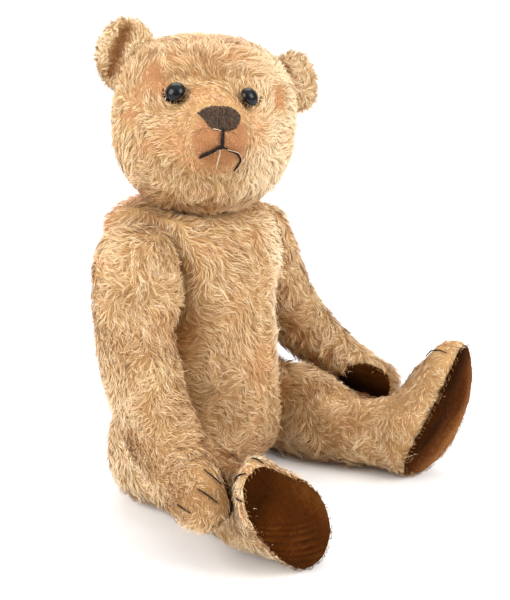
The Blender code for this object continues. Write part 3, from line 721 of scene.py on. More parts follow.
def head_dirt_and_painted_light(points, normals):
    """Handling has left the muzzle and the worn patches dirty. The muzzle's underside, the chin and the
    underside in front are darker with painted shade, and the top of its right side is duller. The left cheek
    is paler with painted light.
    """
    local = to_head(points)
    # Soil on the muzzle and the worn patches; painted shade under the muzzle, on the chin and on the
    # underside in front
    soil_and_painted_shade = most(spot(local, *MUZZLE, 0.35) * (0.75 + 0.6 * past(local, Z, -0.012, -0.030)),
                  0.3 * spot(local, (0.0, -0.080, -0.045), (0.030, 0.030, 0.020), 0.6),
                  0.25 * past(local, Z, 0.030, 0.050) * past(local, X, 0.02, 0.0),
                  0.3 * head_worn(points, normals),
                  0.2 * past(local, Z, -0.046, -0.056) * past(local, Y, -0.050, -0.030))
    # Painted light: paler over the left side, where more light falls
    return soil_and_painted_shade - 0.85 * (1.0 - soil_and_painted_shade) * past(local, X, 0.008, 0.040)


def head_tone(points, normals):
    """A warm blush round the eyes, the nose and the cheeks, and painted shade in ochre on the underside in
    front.
    """
    local = to_head(points)
    blush = 0.7 * spot(local, (0.0, -0.075, -0.002), (0.036, 0.05, 0.030), 0.6)
    warm = most(blush, head_worn(points, normals))
    # Painted shade: ochre on the head's underside in front
    under = past(local, Z, -0.044, -0.054) * past(local, Y, -0.050, -0.030)
    return 0.5 - 0.35 * warm + 0.25 * under + 0.08 * Waves(0.03, 32)(points)


def head_length(points, normals):
    local = to_head(points)
    from_nose = np.linalg.norm(local - NOSE_TIP, axis=1)
    return 0.0046 + 0.0050 * smooth_step(from_nose, 0.028, 0.070) + 0.0015 * past(local, Z, 0.020, 0.045)


def head_comb(points, normals):
    """Away from the nose, up over the brow and down over the cheeks and the chin."""
    away = unit(to_head(points) - NOSE_TIP)
    away[:, Z] += -0.45 + 0.95 * past(away, Z, -0.08, 0.28)
    return away @ HEAD_TURN.T


def head_creases(points, normals):
    """Drawn in under the brow, round the eyes and the snout, and down the chin."""
    local = to_head(points)
    over = local[:, Z] - BROW_Z - 0.10 * local[:, X]
    brow = 0.0036 * ridge(over, 0.0036) - 0.0032 * ridge(over - 0.011, 0.0075)
    brow = brow * smooth_step(0.050 - np.abs(local[:, X]), 0.0, 0.015)
    sockets = np.zeros(len(points))
    for side in SIDES:
        low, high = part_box("eye_" + side)
        away = np.linalg.norm(points - 0.5 * np.array(low + high), axis=1)
        sockets = most(sockets, 0.0032 * (1.0 - smooth_step(away, 0.005, 0.018)))
    flat = (local - MUZZLE[0]) / MUZZLE[1]
    ring = np.hypot(flat[:, X], np.where(flat[:, Z] > 0.0, 0.8, 1.0) * flat[:, Z])
    snout = 0.0034 * ridge(ring - 1.45, 0.38) * past(flat, Z, 1.5, 0.6)
    chin = SEWN * ridge(local[:, X] - 0.002, 0.002) * past(local, Z, -0.017, -0.022)
    smile = 0.0012 * ridge(local[:, Z] + 0.021 + 0.45 * np.abs(local[:, X] - 0.002), 0.003)
    smile *= smooth_step(0.019 - np.abs(local[:, X]), 0.0, 0.006)
    return past(local, Y, -0.020, -0.040) * (
        brow + snout + chin * past(local, Z, -0.060, -0.050) + smile + sockets)


def from_seam(points):
    """How far a point in front is from the torso's centre seam, which wanders a little."""
    wander = np.interp(points[:, Z], SEAM_HEIGHTS, SEAM_SIDEWAYS)
    return np.where(points[:, Y] < 0.0, points[:, X] - wander, 1.0)


def on_hump(points):
    """The rosy hump by the neck, where the pile still stands up."""
    return spot(points, *HUMP)


def torso_worn(points, normals):
    seam = ridge(from_seam(points), 0.0035) * (0.45 + 0.25 * Waves(0.012, 33)(points))
    return np.clip(most(seam, (0.12 + 0.2 * Waves(0.010, 41)(points)) * on_hump(points)), 0.0, 1.0)


def torso_tone(points, normals):
    """Rosy by the seam, on the hump and in front of the neck, and brown below, above and at the right, partly
    the cloth's tone and partly painted shade in the crease above the thighs, under the neck and beside the
    right arm.
    """
    chest = past(points, Y, 0.010, -0.015) * (1.0 - past(points, X, 0.010, 0.030))
    rosy = most(0.45 * ridge(from_seam(points), 0.008), on_hump(points),
                0.7 * chest * past(points, Z, 0.195, 0.210))
    # Browner below, by the neck and beside the right arm: partly painted shade
    brown = most(past(points, Z, 0.09, 0.03), 1.2 * past(points, Z, 0.206, 0.220) * (1.0 - on_hump(points)),
                 1.4 * past(points, X, -0.044, -0.058) * (1.0 - rosy))
    return 0.5 - 0.35 * rosy + 0.25 * brown + 0.08 * Waves(0.05, 34)(points)


def torso_dirt_and_painted_light(points, normals):
    """Painted light down the front of its left side, painted shade in the crease of the neck, and duller in
    uneven patches over the lower belly.
    """
    side = past(points, X, 0.012, 0.030) * past(points, Y, 0.020, -0.010)
    neck = past(points, Z, 0.208, 0.226) * (1.0 - on_hump(points))
    belly = past(points, Z, 0.120, 0.060) * past(points, Y, 0.0, -0.02) * (1.0 - side)
    belly = belly * (0.22 + 0.25 * Waves(0.012, 45)(points))
    # below 0 down the left side is painted light; above 0 in the neck crease is painted shade
    return 0.35 * neck + belly - (1.0 - neck) * side * past(points, Z, 0.060, 0.130)


def torso_comb(points, normals):
    """Down and to its left, more across over the belly."""
    over = past(points, Z, 0.190, 0.130) * past(points, Y, 0.0, -0.02)
    return np.stack((0.7 + 1.1 * over, 0.0 * over, -1.0 + 0.35 * over), 1) + 0.35 * normals * (1.0, 1.0, 0.0)


def torso_creases(points, normals):
    """The centre seam, and the hump, which stands up."""
    return SEWN * ridge(from_seam(points), 0.0022) - 0.0050 * on_hump(points)


def arm_comb(points, normals):
    bend = past(points, Z, 0.17, 0.06)
    return np.stack((0.0 * bend, -bend, -1.0 + 0.4 * bend), 1)


def left_arm_painted_light(points, normals):
    """Painted shade on the side that faces the body, in uneven locks, and painted light down the outer
    forearm.
    """
    middle = np.interp(points[:, Z], (0.06, 0.14, 0.20), (0.139, 0.091, 0.0775))
    inner = smooth_step(middle - 0.001 - points[:, X], 0.0, 0.016) * (1.0 - past(points, Z, 0.185, 0.205))
    outer = (1.0 - inner) * past(points, Z, 0.150, 0.110)
    return inner * (0.24 + 0.5 * Waves(0.011, 47)(points)) - 0.5 * outer


def left_arm_tone(points, normals):
    # Browner on the side that faces the body: painted shade
    return 0.58 + 0.35 * np.maximum(left_arm_painted_light(points, normals), 0.0) + 0.08 * Waves(0.04, 36)(points)


def on_paw(points):
    return past(points, Y, -0.094, -0.112)


def right_arm_worn(points, normals):
    """The paw's tip is rubbed in patches."""
    return np.clip(on_paw(points) * (0.02 + 0.32 * Waves(0.010, 42)(points)), 0.0, 0.5)


def right_arm_length(points, normals):
    return tufty(0.0098, 73)(points, normals) * (1.0 - 0.10 * on_paw(points))


def right_arm_tone(points, normals):
    """Browner towards the paw, and left plain and paler over the shoulder, as painted light where the head
    shades it.
    """
    browner = 0.24 * past(points, Z, 0.190, 0.090) - 0.18 * on_paw(points)
    return 0.50 + browner + 0.08 * Waves(0.04, 37)(points)


def right_arm_painted_light(points, normals):
    """Painted light: paler a little over the shoulder, and more behind the elbow."""
    elbow = past(points, Y, -0.070, -0.035) * past(points, Z, 0.155, 0.105)
    return -0.8 * most(0.12 * past(points, Z, 0.170, 0.200), elbow)


def leg_comb(points, normals):
    return np.tile((0.0, -1.0, -0.5), (len(points), 1))


def on_thigh(points, start, end, deep):
    """The top of the right thigh, between the arm and the belly."""
    return past(points, Z, start, end) * spot(points, THIGH, (0.04, deep, 0.04), 0.4)


def right_leg_worn(points, normals):
    """The thigh is rubbed thin, and the foot a little."""
    thigh = on_thigh(points, 0.040, 0.060, 0.034)
    foot = past(points, Y, -0.120, -0.150)
    return np.clip(0.38 * thigh + 0.25 * foot + 0.2 * Waves(0.012, 35)(points) * thigh, 0.0, 1.0)


def right_leg_tone(points, normals):
    return 0.5 + 0.34 * on_thigh(points, 0.030, 0.050, 0.04) + 0.08 * Waves(0.03, 38)(points)


def right_leg_painted_light(points, normals):
    """Paler over the hip and round the foot, which is painted light, and a little on the thigh."""
    ends = most(past(points, Y, -0.050, -0.010), past(points, Y, -0.108, -0.135))
    return -0.5 * on_thigh(points, 0.040, 0.060, 0.034) - 0.85 * ends


def left_leg_worn(points, normals):
    """Short along the shank."""
    shank = spot(points, *LEFT_SHANK)
    foot = past(points, Y, -0.125, -0.155)
    return np.clip(0.14 * shank + 0.06 * foot + 0.16 * Waves(0.014, 39)(points) * shank, 0.0, 1.0)


def left_leg_length(points, normals):
    """Long by the body, short over the toe, on the foot's outer side and on the ridge below the paw."""
    long = past(points, Y, -0.095, -0.060)
    toe = past(points, Y, -0.112, -0.135) * past(points, Z, 0.062, 0.082)
    outer = past(points, X, 0.132, 0.146) * past(points, Y, -0.120, -0.140)
    under_paw = past(points, Y, -0.068, -0.082) * past(points, Z, 0.048, 0.062) * (1.0 - toe)
    short = (1.0 - 0.6 * outer) * (1.0 - 0.3 * toe) * (1.0 - 0.6 * under_paw)
    return (tufty(0.0098, 74)(points, normals) + 0.0034 * long) * short


def left_leg_dirt(points, normals):
    """Deeper, uneven locks by the body."""
    return past(points, Y, -0.100, -0.070) * (0.40 * Waves(0.010, 46)(points) - 0.30)


def left_leg_tone(points, normals):
    brown = past(points, Y, -0.110, -0.060)
    foot = past(points, Y, -0.128, -0.150)
    return 0.62 + 0.14 * brown - 0.14 * foot + 0.08 * Waves(0.03, 40)(points)


def left_leg_creases(points, normals):
    """The toe is stuffed out a little."""
    return -0.0035 * spot(points, *LEFT_TOE, 0.8)


EAR_FOLD = {  # each fold's two ends in the head's x and z, where the cup is deepest
    1: ((0.056, 0.044), (0.056, 0.020)),
    -1: ((-0.063, 0.064), (-0.073, 0.032)),
}


def ear_fold(local):
    """How far a point is from the line of its ear's fold."""
    away = np.empty(len(local))
    for side, (start, end) in EAR_FOLD.items():
        start, end = np.array(start), np.array(end)
        flat = local[:, (X, Z)] - start
        share = np.clip(flat @ (end - start) / ((end - start) @ (end - start)), 0.0, 1.0)
        mine = np.sign(local[:, X]) == side
        away[mine] = np.linalg.norm(flat - share[:, None] * (end - start), axis=1)[mine]
    return away


def ear_length(points, normals):
    front = smooth_step(-(normals @ HEAD_BACK), 0.0, 0.5)
    return 0.0075 - 0.0030 * front + 0.0025 * (to_head(points)[:, X] > 0.0)


def ear_comb(points, normals):
    """Outwards from the ear's foot."""
    local = to_head(points)
    foot = np.stack((np.sign(local[:, X]) * 0.045, local[:, Y], np.full(len(local), 0.030)), 1)
    return unit(local - foot) @ HEAD_TURN.T


def ear_fold_shade(points, normals):
    """Brown down in the fold of the cup, which is painted shade, and paler round the rim."""
    local = to_head(points)
    inner = 1.25 * ridge(ear_fold(local), 0.0050) * smooth_step(-(normals @ HEAD_BACK), 0.0, 0.4)
    return np.where(inner > 0.15, inner, -np.where(local[:, X] < 0.0, 0.6, 0.1))


def ear_tone(points, normals):
    # Ochre down in the fold: painted shade
    return 0.52 + 0.48 * np.maximum(ear_fold_shade(points, normals), 0.0)


def ear_creases(points, normals):
    return 0.0030 * ear_fold_shade(points, normals)


COATS = {
    "torso": Coat(torso_comb, tufty(0.0104, 71), torso_tone, 11, 160000, torso_worn, torso_dirt_and_painted_light,
                  torso_creases, crushed=(0.0048, 1.3, 0.5), lock_size=0.0021, curl=0.0014, whorl=0.6,
                  gather=0.68, fine=True),
    "head": Coat(head_comb, head_length, head_tone, 21, 170000, head_worn, head_dirt_and_painted_light, head_creases,
                 lift=0.42, whorl=0.6, lock_size=0.0028, width=0.00036, curl=0.0011,
                 crushed=(0.0055, 2.0, 0.5), fine=True),
    "arm_left": Coat(arm_comb, tufty(0.0100, 72), left_arm_tone, 31, 80000, dirt_and_painted_light=left_arm_painted_light,
                     crushed=(0.0050, 1.3, 0.5), clear=0.009, pads=(("paw_pad_left", 0.004),)),
    "arm_right": Coat(arm_comb, right_arm_length, right_arm_tone, 41, 105000, right_arm_worn, right_arm_painted_light,
                      stray=0.35, crushed=(0.0060, 1.4, 0.7), lock_size=0.0019, curl=0.0017, clear=0.0075,
                      pads=(("paw_pad_right", 0.004),)),
    "leg_left": Coat(leg_comb, left_leg_length, left_leg_tone, 51, 103000, left_leg_worn, left_leg_dirt,
                     left_leg_creases, clear=0.0085, curl=0.0018, fine=True,
                     pads=(("sole_pad_left", 0.002),)),
    "leg_right": Coat(leg_comb, tufty(0.009, 75), right_leg_tone, 61, 80000, right_leg_worn, right_leg_painted_light,
                      clear=0.0075, pads=(("sole_pad_right", 0.005),)),
}
EAR_COATS = {
    "ear_" + side: Coat(ear_comb, ear_length, ear_tone, seed, 22000, dirt_and_painted_light=ear_fold_shade, creases=ear_creases,
                        lift=0.55, curl=0.0014, stray=0.5, gather=0.8)
    for side, seed in (("left", 81), ("right", 82))
}


def dress(skin, name, body, coat, materials, stands_for, others, details=()):
    """Draws in the creases, colours the skin, gives it its material and body, and grows its pile."""
    mesh = skin.data
    points, normals = points_of(mesh), normals_of(mesh)
    set_points(mesh, points - normals * coat.creases(points, normals)[:, None])
    at = points_of(mesh), normals_of(mesh)
    # worn, tone and dirt values for the skin's colour; the tone and dirt values carry painted light and shade
    # in places
    looks = [np.clip(look(*at), 0.0, 1.0) for look in (coat.worn, coat.tone, coat.dirt_and_painted_light, plain(1.0))]
    set_colours(mesh, "wear_and_painted_light", np.stack(looks, 1))
    pile, backing = materials
    put_on(skin, backing, body, "mohair", *stands_for)
    put_on(grow(name + "_pile", skin, coat, others, details), pile, body, "mohair")


def add_skin(body, materials):
    """One limb's, the head's or the torso's cloth skin and the pile on it."""
    cover = body + "_cover"
    joints = JOINTS.values() if body == "torso" else [JOINTS[body]]
    skin = swell(closed_skin(body + "_skin", cover, VOXEL, True), joints)
    if COATS[body].fine:
        skin = subdivided(skin)
    others = [other + "_cover" for other in COATS if other != body]
    details = details_of(body) + (["paw_pad_left"] if body == "leg_left" else [])
    dress(skin, body, body, COATS[body], materials, (cover, body + "_stuffing"), others, details)
    return skin


def add_ear(side, materials):
    ear = "ear_" + side
    skin = subdivided(closed_skin(ear + "_skin", ear, EAR_VOXEL, False))
    dress(skin, ear, "head", EAR_COATS[ear], materials, [ear], ["torso_cover"])


def details_of(body):
    """The eyes and stitches that lie on a body's skin."""
    if body == "head":
        return ["eye_left", "eye_right", "nose_stitching", "mouth_centre_stitch", "mouth_left_stitch",
                "mouth_right_stitch"]
    kind, _, side = body.partition("_")
    prefix = {"arm": "paw_claw_", "leg": "foot_claw_"}.get(kind, "none")
    return [name for name in frame["nodes"] if name.startswith(prefix + side)]


# Threads
YARN_TWIST = 0.0035  # the length of one turn of its two plies
YARN_STEP = 0.0007
CLAW_RADIUS, CLAW_LIFT = 0.00065, 0.0010


def tube_mesh(name, paths, radii, sides=5):
    """Round threads along paths, joined into one mesh, each closed at both ends."""
    points, faces, first = [], [], 0
    for path, radius in zip(paths, radii):
        path = np.asarray(path, float)
        ahead = unit(np.gradient(path, axis=0))
        side = unit(np.cross(ahead, np.roll(ahead, 1) + 0.01))
        for k in range(1, len(path)):
            side[k] = tangent(side[k - 1], ahead[k])
        up = np.cross(ahead, side)
        turn = np.arange(sides) * 2.0 * math.pi / sides
        ring = side[:, None] * np.cos(turn)[None, :, None] + up[:, None] * np.sin(turn)[None, :, None]
        size = np.broadcast_to(np.asarray(radius, float), (len(path),))
        points.append((path[:, None] + ring * size[:, None, None]).reshape(-1, 3))
        faces += ring_faces(first, len(path), sides)
        faces.append(tuple(range(first + sides - 1, first - 1, -1)))
        faces.append(tuple(first + (len(path) - 1) * sides + j for j in range(sides)))
        first += len(path) * sides
    points = np.concatenate(points)
    points[:, Z] = np.maximum(points[:, Z], FLOOR)
    made = object_of(name, points, faces)
    made.data.validate()
    return made


def ring_faces(first, rings, sides):
    """The four-sided faces between rings of points that follow each other."""
    near = [first + k * sides + j for k in range(rings - 1) for j in range(sides)]
    after = [first + k * sides + (j + 1) % sides for k in range(rings - 1) for j in range(sides)]
    return [(a, b, b + sides, a + sides) for a, b in zip(near, after)]


def resample(path, count):
    """The same line through count even points, rounded a little at its corners."""
    path = np.asarray(path, float)
    along = np.concatenate(([0.0], np.cumsum(np.linalg.norm(np.diff(path, axis=0), axis=1))))
    even = np.linspace(0.0, along[-1], count)
    made = np.stack([np.interp(even, along, path[:, k]) for k in range(3)], 1)
    made[1:-1] = 0.25 * made[:-2] + 0.5 * made[1:-1] + 0.25 * made[2:]
    return made


def centre_line(node, axis):
    """The middle of a CAD thread, which is a tube of six-sided rings."""
    bm = welded(node, 0.00002)
    points = np.array([vertex.co[:] for vertex in bm.verts])
    bm.free()
    if axis is None:
        axis = np.linalg.svd(points - points.mean(0), full_matrices=False)[2][0]
    points = points[np.argsort(points @ axis)]
    groups = max(2, round(len(points) / 6))
    return np.array([part.mean(0) for part in np.array_split(points, groups)])


def yarn(path, radius):
    """Two plies wound round each other along a line."""
    length = np.linalg.norm(np.diff(path, axis=0), axis=1).sum()
    path = resample(path, max(8, int(length / YARN_STEP)))
    ahead = unit(np.gradient(path, axis=0))
    side = tangent(np.tile((0.31, 0.52, 0.79), (len(path), 1)), ahead)
    turn = np.linspace(0.0, 2.0 * math.pi * length / YARN_TWIST, len(path))
    swing = side * np.cos(turn)[:, None] + np.cross(ahead, side) * np.sin(turn)[:, None]
    swing = swing * radius * 0.5
    taper = np.sin(np.linspace(0.12, math.pi - 0.12, len(path))) ** 0.25
    return [path + swing, path - swing], [radius * 0.62 * taper] * 2


def fuzz(path, radius, count):
    """Fine fibres that stand off a worn thread."""
    paths, radii = [], []
    for _ in range(count):
        k = RNG.integers(0, len(path) - 1)
        start = path[k] + (path[k + 1] - path[k]) * RNG.random()
        heading = unit(RNG.normal(size=3))
        bend = unit(RNG.normal(size=3)) * 0.0006
        reach = RNG.uniform(0.001, 0.0024)
        paths.append([start, start + heading * reach * 0.5 + bend * 0.3, start + heading * reach + bend])
        radii.append([radius * 0.12, radius * 0.1, radius * 0.04])
    return paths, radii


def add_stitch(node, body, radius, material, skin, lift, axis=None, joins=()):
    """Yarn along a CAD thread, laid on a skin, with its nearer end drawn on to each joining point."""
    tree = tree_of(skin.data)
    found = [tree.find_nearest(Vector(point)) for point in centre_line(node, axis)]
    line = np.array([place + normal * (1.3 * radius + lift) for place, normal, _, _ in found])
    for join in joins:
        near_end = np.linalg.norm(line[-1] - join) < np.linalg.norm(line[0] - join)
        line = np.concatenate((line, [join])) if near_end else np.concatenate(([join], line))
    paths, radii = yarn(line, radius)
    more, fine = fuzz(line, radius, 26)
    put_on(tube_mesh(node + "_yarn", paths + more, radii + fine), material, body, "thread", node)


# Face
NOSE_HALF_WIDTH, NOSE_HALF_HEIGHT, NOSE_X, NOSE_Z = 0.0134, 0.0086, 0.0010, 0.0025
NOSE_LAYERS = ((20, 0.00085, 0.0004), (34, 0.00052, 0.0015))  # threads, their radius and their rise
MOUTH_RADII = {"mouth_centre_stitch": 0.0015, "mouth_left_stitch": 0.0008, "mouth_right_stitch": 0.0013}
MOUTH_TOP = (0.0014, -0.0050)  # where the centre stitch comes out from under the nose
MOUTH_JOIN = (0.0018, -0.0172)  # where the three lines of the mouth meet, in the head's axes
MOUTH_LIFT = 0.0014
PALE_THREADS = (  # lines on the face, by x and z in the head's axes
    ((-0.005, -0.0056), (-0.001, -0.0060), (0.003, -0.0076), (0.0055, -0.0092)),
    ((0.006, -0.0178), (0.015, -0.0196), (0.0205, -0.0262)),
)
DARK_THREADS = (
    ((-0.015, -0.0068), (-0.010, -0.0060), (-0.004, -0.0058)),
    ((-0.016, -0.0086), (-0.013, -0.0076), (-0.008, -0.0074)),
    ((0.005, -0.0060), (0.010, -0.0078), (0.013, -0.0110)),
    ((0.006, -0.0130), (0.009, -0.0145), (0.011, -0.0165)),
)
EYE_SCALE = {"right": 1.12, "left": 1.03}
EYE_FRINGE = {"right": (90, -1.8), "left": (36, -1.3)}  # how many threads, and where most are, in radians


def onto(tree, x, z, lift=0.0):
    """The point on the face at x and z in the head's axes, raised off the skin."""
    place, normal, _, _ = tree.ray_cast(Vector(from_head((x, -0.15, z))), Vector(HEAD_BACK))
    if np.dot(normal, HEAD_BACK) > 0.0:
        normal = -normal
    return np.array(place + normal * lift)


def add_nose(tree):
    """Satin stitch: two layers of upright threads, worn and a little uneven."""
    paths, radii = [], []
    for count, radius, rise in NOSE_LAYERS:
        for k in range(count):
            share = -1.0 + 2.0 * (k + 0.5) / count
            tall = (1.0 - abs(share) ** 2.6) ** 0.5 * NOSE_HALF_HEIGHT * RNG.uniform(0.93, 1.04)
            lean = RNG.normal(0.0, 0.0004)
            path = []
            for t in np.linspace(-1.0, 1.0, 9):
                bulge = rise * (1.0 - abs(t) ** 3) * (1.0 - 0.5 * abs(share) ** 3)
                x = share * NOSE_HALF_WIDTH * (1.0 + (0.13 - 0.10 * share) * t)
                path.append(onto(tree, NOSE_X + x + lean * t, NOSE_Z + t * tall, bulge + 0.0001))
            paths.append(path)
            radii.append(radius * RNG.uniform(0.85, 1.15))
    more, fine = fuzz(np.array(paths[30]), 0.0007, 10)
    for k in RNG.integers(20, 54, 14):
        extra, thin = fuzz(np.array(paths[k]), 0.0008, 5)
        more, fine = more + extra, fine + thin
    made = tube_mesh("nose_satin_stitch", paths + more, radii + fine)
    brown = thread_material("nose_thread", srgb(27, 20, 16), srgb(98, 78, 63))
    put_on(made, brown, "head", "thread", "nose_stitching")


def add_loose_threads(tree):
    """Threads that have pulled out round the nose and mouth, and the chin's pale seam."""
    def strands(lines, thick, fine):
        laid = [[onto(tree, x, z, 0.0016 + 0.0008 * RNG.random()) for x, z in line] for line in lines]
        made = [resample(line, 14) for line in laid]
        return made, [np.linspace(thick, fine, 14) for _ in made]

    made = tube_mesh("dark_loose_threads", *strands(DARK_THREADS, 0.00016, 0.00007), 4)
    put_on(made, thread_material("brown_thread", srgb(60, 42, 30), srgb(104, 80, 58)), "head", "thread")
    paths, radii = strands(PALE_THREADS, 0.00024, 0.00010)
    seam = [onto(tree, 0.0018 + 0.0003 * math.sin(k), -0.0190 - 0.0016 * k, 0.0004) for k in range(11)]
    paths.append(resample(seam, 24))
    radii.append(0.00032)
    for k in range(10):
        z, lean = -0.0198 - 0.0015 * k, RNG.normal(0.0, 0.0003)
        across = ((0.0006, lean), (0.0018, 0.0), (0.0030, -lean))
        paths.append([onto(tree, x, z + rise, 0.0004) for x, rise in across])
        radii.append([0.0001, 0.0002, 0.0001])
    made = tube_mesh("loose_threads", paths, radii, 4)
    put_on(made, thread_material("pale_thread", srgb(214, 188, 150), srgb(244, 226, 196)), "head", "thread")


def add_eye(side):
    """A boot button: a finer copy of its CAD shape, with the frayed felt that is left round it."""
    node = "eye_" + side
    made = subdivided(object_from(welded(node), node + "_button"))
    points = points_of(made.data)
    set_points(made.data, points.mean(0) + EYE_SCALE[side] * (points - points.mean(0)))
    put_on(made, button_material(node + "_black"), "head", "button", node)
    points = points_of(made.data)
    dome = points[(points - points.mean(0)) @ HEAD_BACK < 0.0]
    middle = dome.mean(0)
    radius = np.linalg.norm(np.cross(dome - middle, HEAD_BACK), axis=1).max()
    paths, radii = [], []
    count, most_at = EYE_FRINGE[side]
    for _ in range(count):
        turn = RNG.normal(most_at, 0.8)
        way = HEAD_LEFT * math.cos(turn) + HEAD_UP * math.sin(turn)
        root = middle + way * radius * 0.93 + HEAD_BACK * 0.0022
        reach = RNG.uniform(0.0010, 0.0028)
        skew = np.cross(-HEAD_BACK, way) * RNG.normal(0.0, 0.0009)
        paths.append([root, root + way * reach * 0.6 - HEAD_BACK * 0.0012,
                      root + way * reach + skew - HEAD_BACK * 0.0008])
        radii.append([0.00024, 0.0002, 0.00006])
    felt = thread_material(node + "_felt", srgb(14, 11, 10), srgb(38, 28, 22))
    put_on(tube_mesh(node + "_fringe", paths, radii, 4), felt, "head", "thread")


# Velvet pads
PAD_SIDES = 96
SOLE_RINGS, PAW_RINGS = 36, 16
PAD_THICK = 0.0011
SOLE_STITCHES, PAW_STITCHES = 74, 40
# Dark, middle and bright stops of each pad's velvet. The bright stops colour the painted light on the soles'
# lit sides, and paw_pad_left's stops are darker as painted shade, for that pad faces down into shade.
VELVET = {
    "sole_pad_left": (srgb(32, 12, 0), srgb(70, 34, 7), srgb(130, 84, 46)),
    "sole_pad_right": (srgb(30, 11, 0), srgb(66, 31, 4), srgb(112, 68, 26)),
    "paw_pad_left": (srgb(15, 6, 0), srgb(31, 13, 1), srgb(56, 27, 5)),
    "paw_pad_right": (srgb(30, 12, 4), srgb(58, 30, 12), srgb(90, 52, 24)),
}


class PadShape:
    """A pad's outline and dome, read from its CAD sheet: up runs along it, across over it, out off it."""

    def __init__(self, node, cover):
        bm, walls = cad_walls(node)
        outwards = np.mean([vertex.co for vertex in bm.verts], 0) - 0.5 * np.sum(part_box(cover), 0)
        wall = max(walls[:2], key=lambda run: np.mean([f.calc_center_median() for f in run], 0) @ outwards)
        keep_faces(bm, wall)
        edge = np.array([vertex.co[:] for vertex in bm.verts if vertex.is_boundary])
        points = np.array([vertex.co[:] for vertex in bm.verts])
        bm.free()
        self.middle = edge.mean(0)
        local = edge - self.middle
        axes = np.linalg.svd(local, full_matrices=False)[2]
        self.out = axes[2] * np.sign(axes[2] @ outwards)
        self.up = axes[0] * np.sign(axes[0][Z] + 1e-6)
        self.across = np.cross(self.up, self.out)
        self.dome = ((points - self.middle) @ self.out).max()
        turn = np.arctan2(local @ self.across, local @ self.up)
        order = np.argsort(turn)
        turn, local = turn[order], local[order]
        turns = np.linspace(-math.pi, math.pi, PAD_SIDES, endpoint=False)
        wrapped = np.concatenate((turn - 2 * math.pi, turn, turn + 2 * math.pi))
        self.rim = np.stack([np.interp(turns, wrapped, np.tile(local[:, k], 3)) for k in range(3)], 1)
        for _ in range(3):
            self.rim = 0.25 * np.roll(self.rim, 1, 0) + 0.5 * self.rim + 0.25 * np.roll(self.rim, -1, 0)
        self.half = np.abs(self.rim @ self.across).max(), np.abs(self.rim @ self.up).max()
        self.area = 0.5 * abs((np.cross(self.rim, np.roll(self.rim, -1, 0)) @ self.out).sum())

    def place(self, share):
        """The rim drawn in to a share of its size, on the dome."""
        return self.middle + self.rim * share + self.out * self.dome * (1.0 - share * share)


def sole_folds(u, v, side):
    """Ridges that the pull of the seam raises: they run from the inner edge down round the heel."""
    across = u + 0.62 * (v + 1.0) + 0.3 * (1.0 - v * v)
    band = smooth_step(0.98 - across, 0.0, 0.2) * smooth_step(across, -0.6, 0.1)
    band *= 0.45 + 0.55 * smooth_step(-v, -0.5, 0.6)
    wave = 36.0 * across + 1.3 * np.sin(4.0 * v + 1.5 * u) + 0.9 * np.sin(9.0 * across)
    edge = smooth_step(v, 0.35, 0.9) * np.sin(22.0 * u + 3.0 * v) * (1.0 - band)
    share = 0.8 if side < 0.0 else 0.05
    uneven = 0.62 + 0.38 * np.sin(5.0 * v - 3.0 * u + 1.0) * np.sin(3.1 * across + 0.4)
    return share * (0.0011 * (np.sin(wave) + 0.3 * np.sin(2.0 * wave)) * band * uneven + 0.0003 * edge)


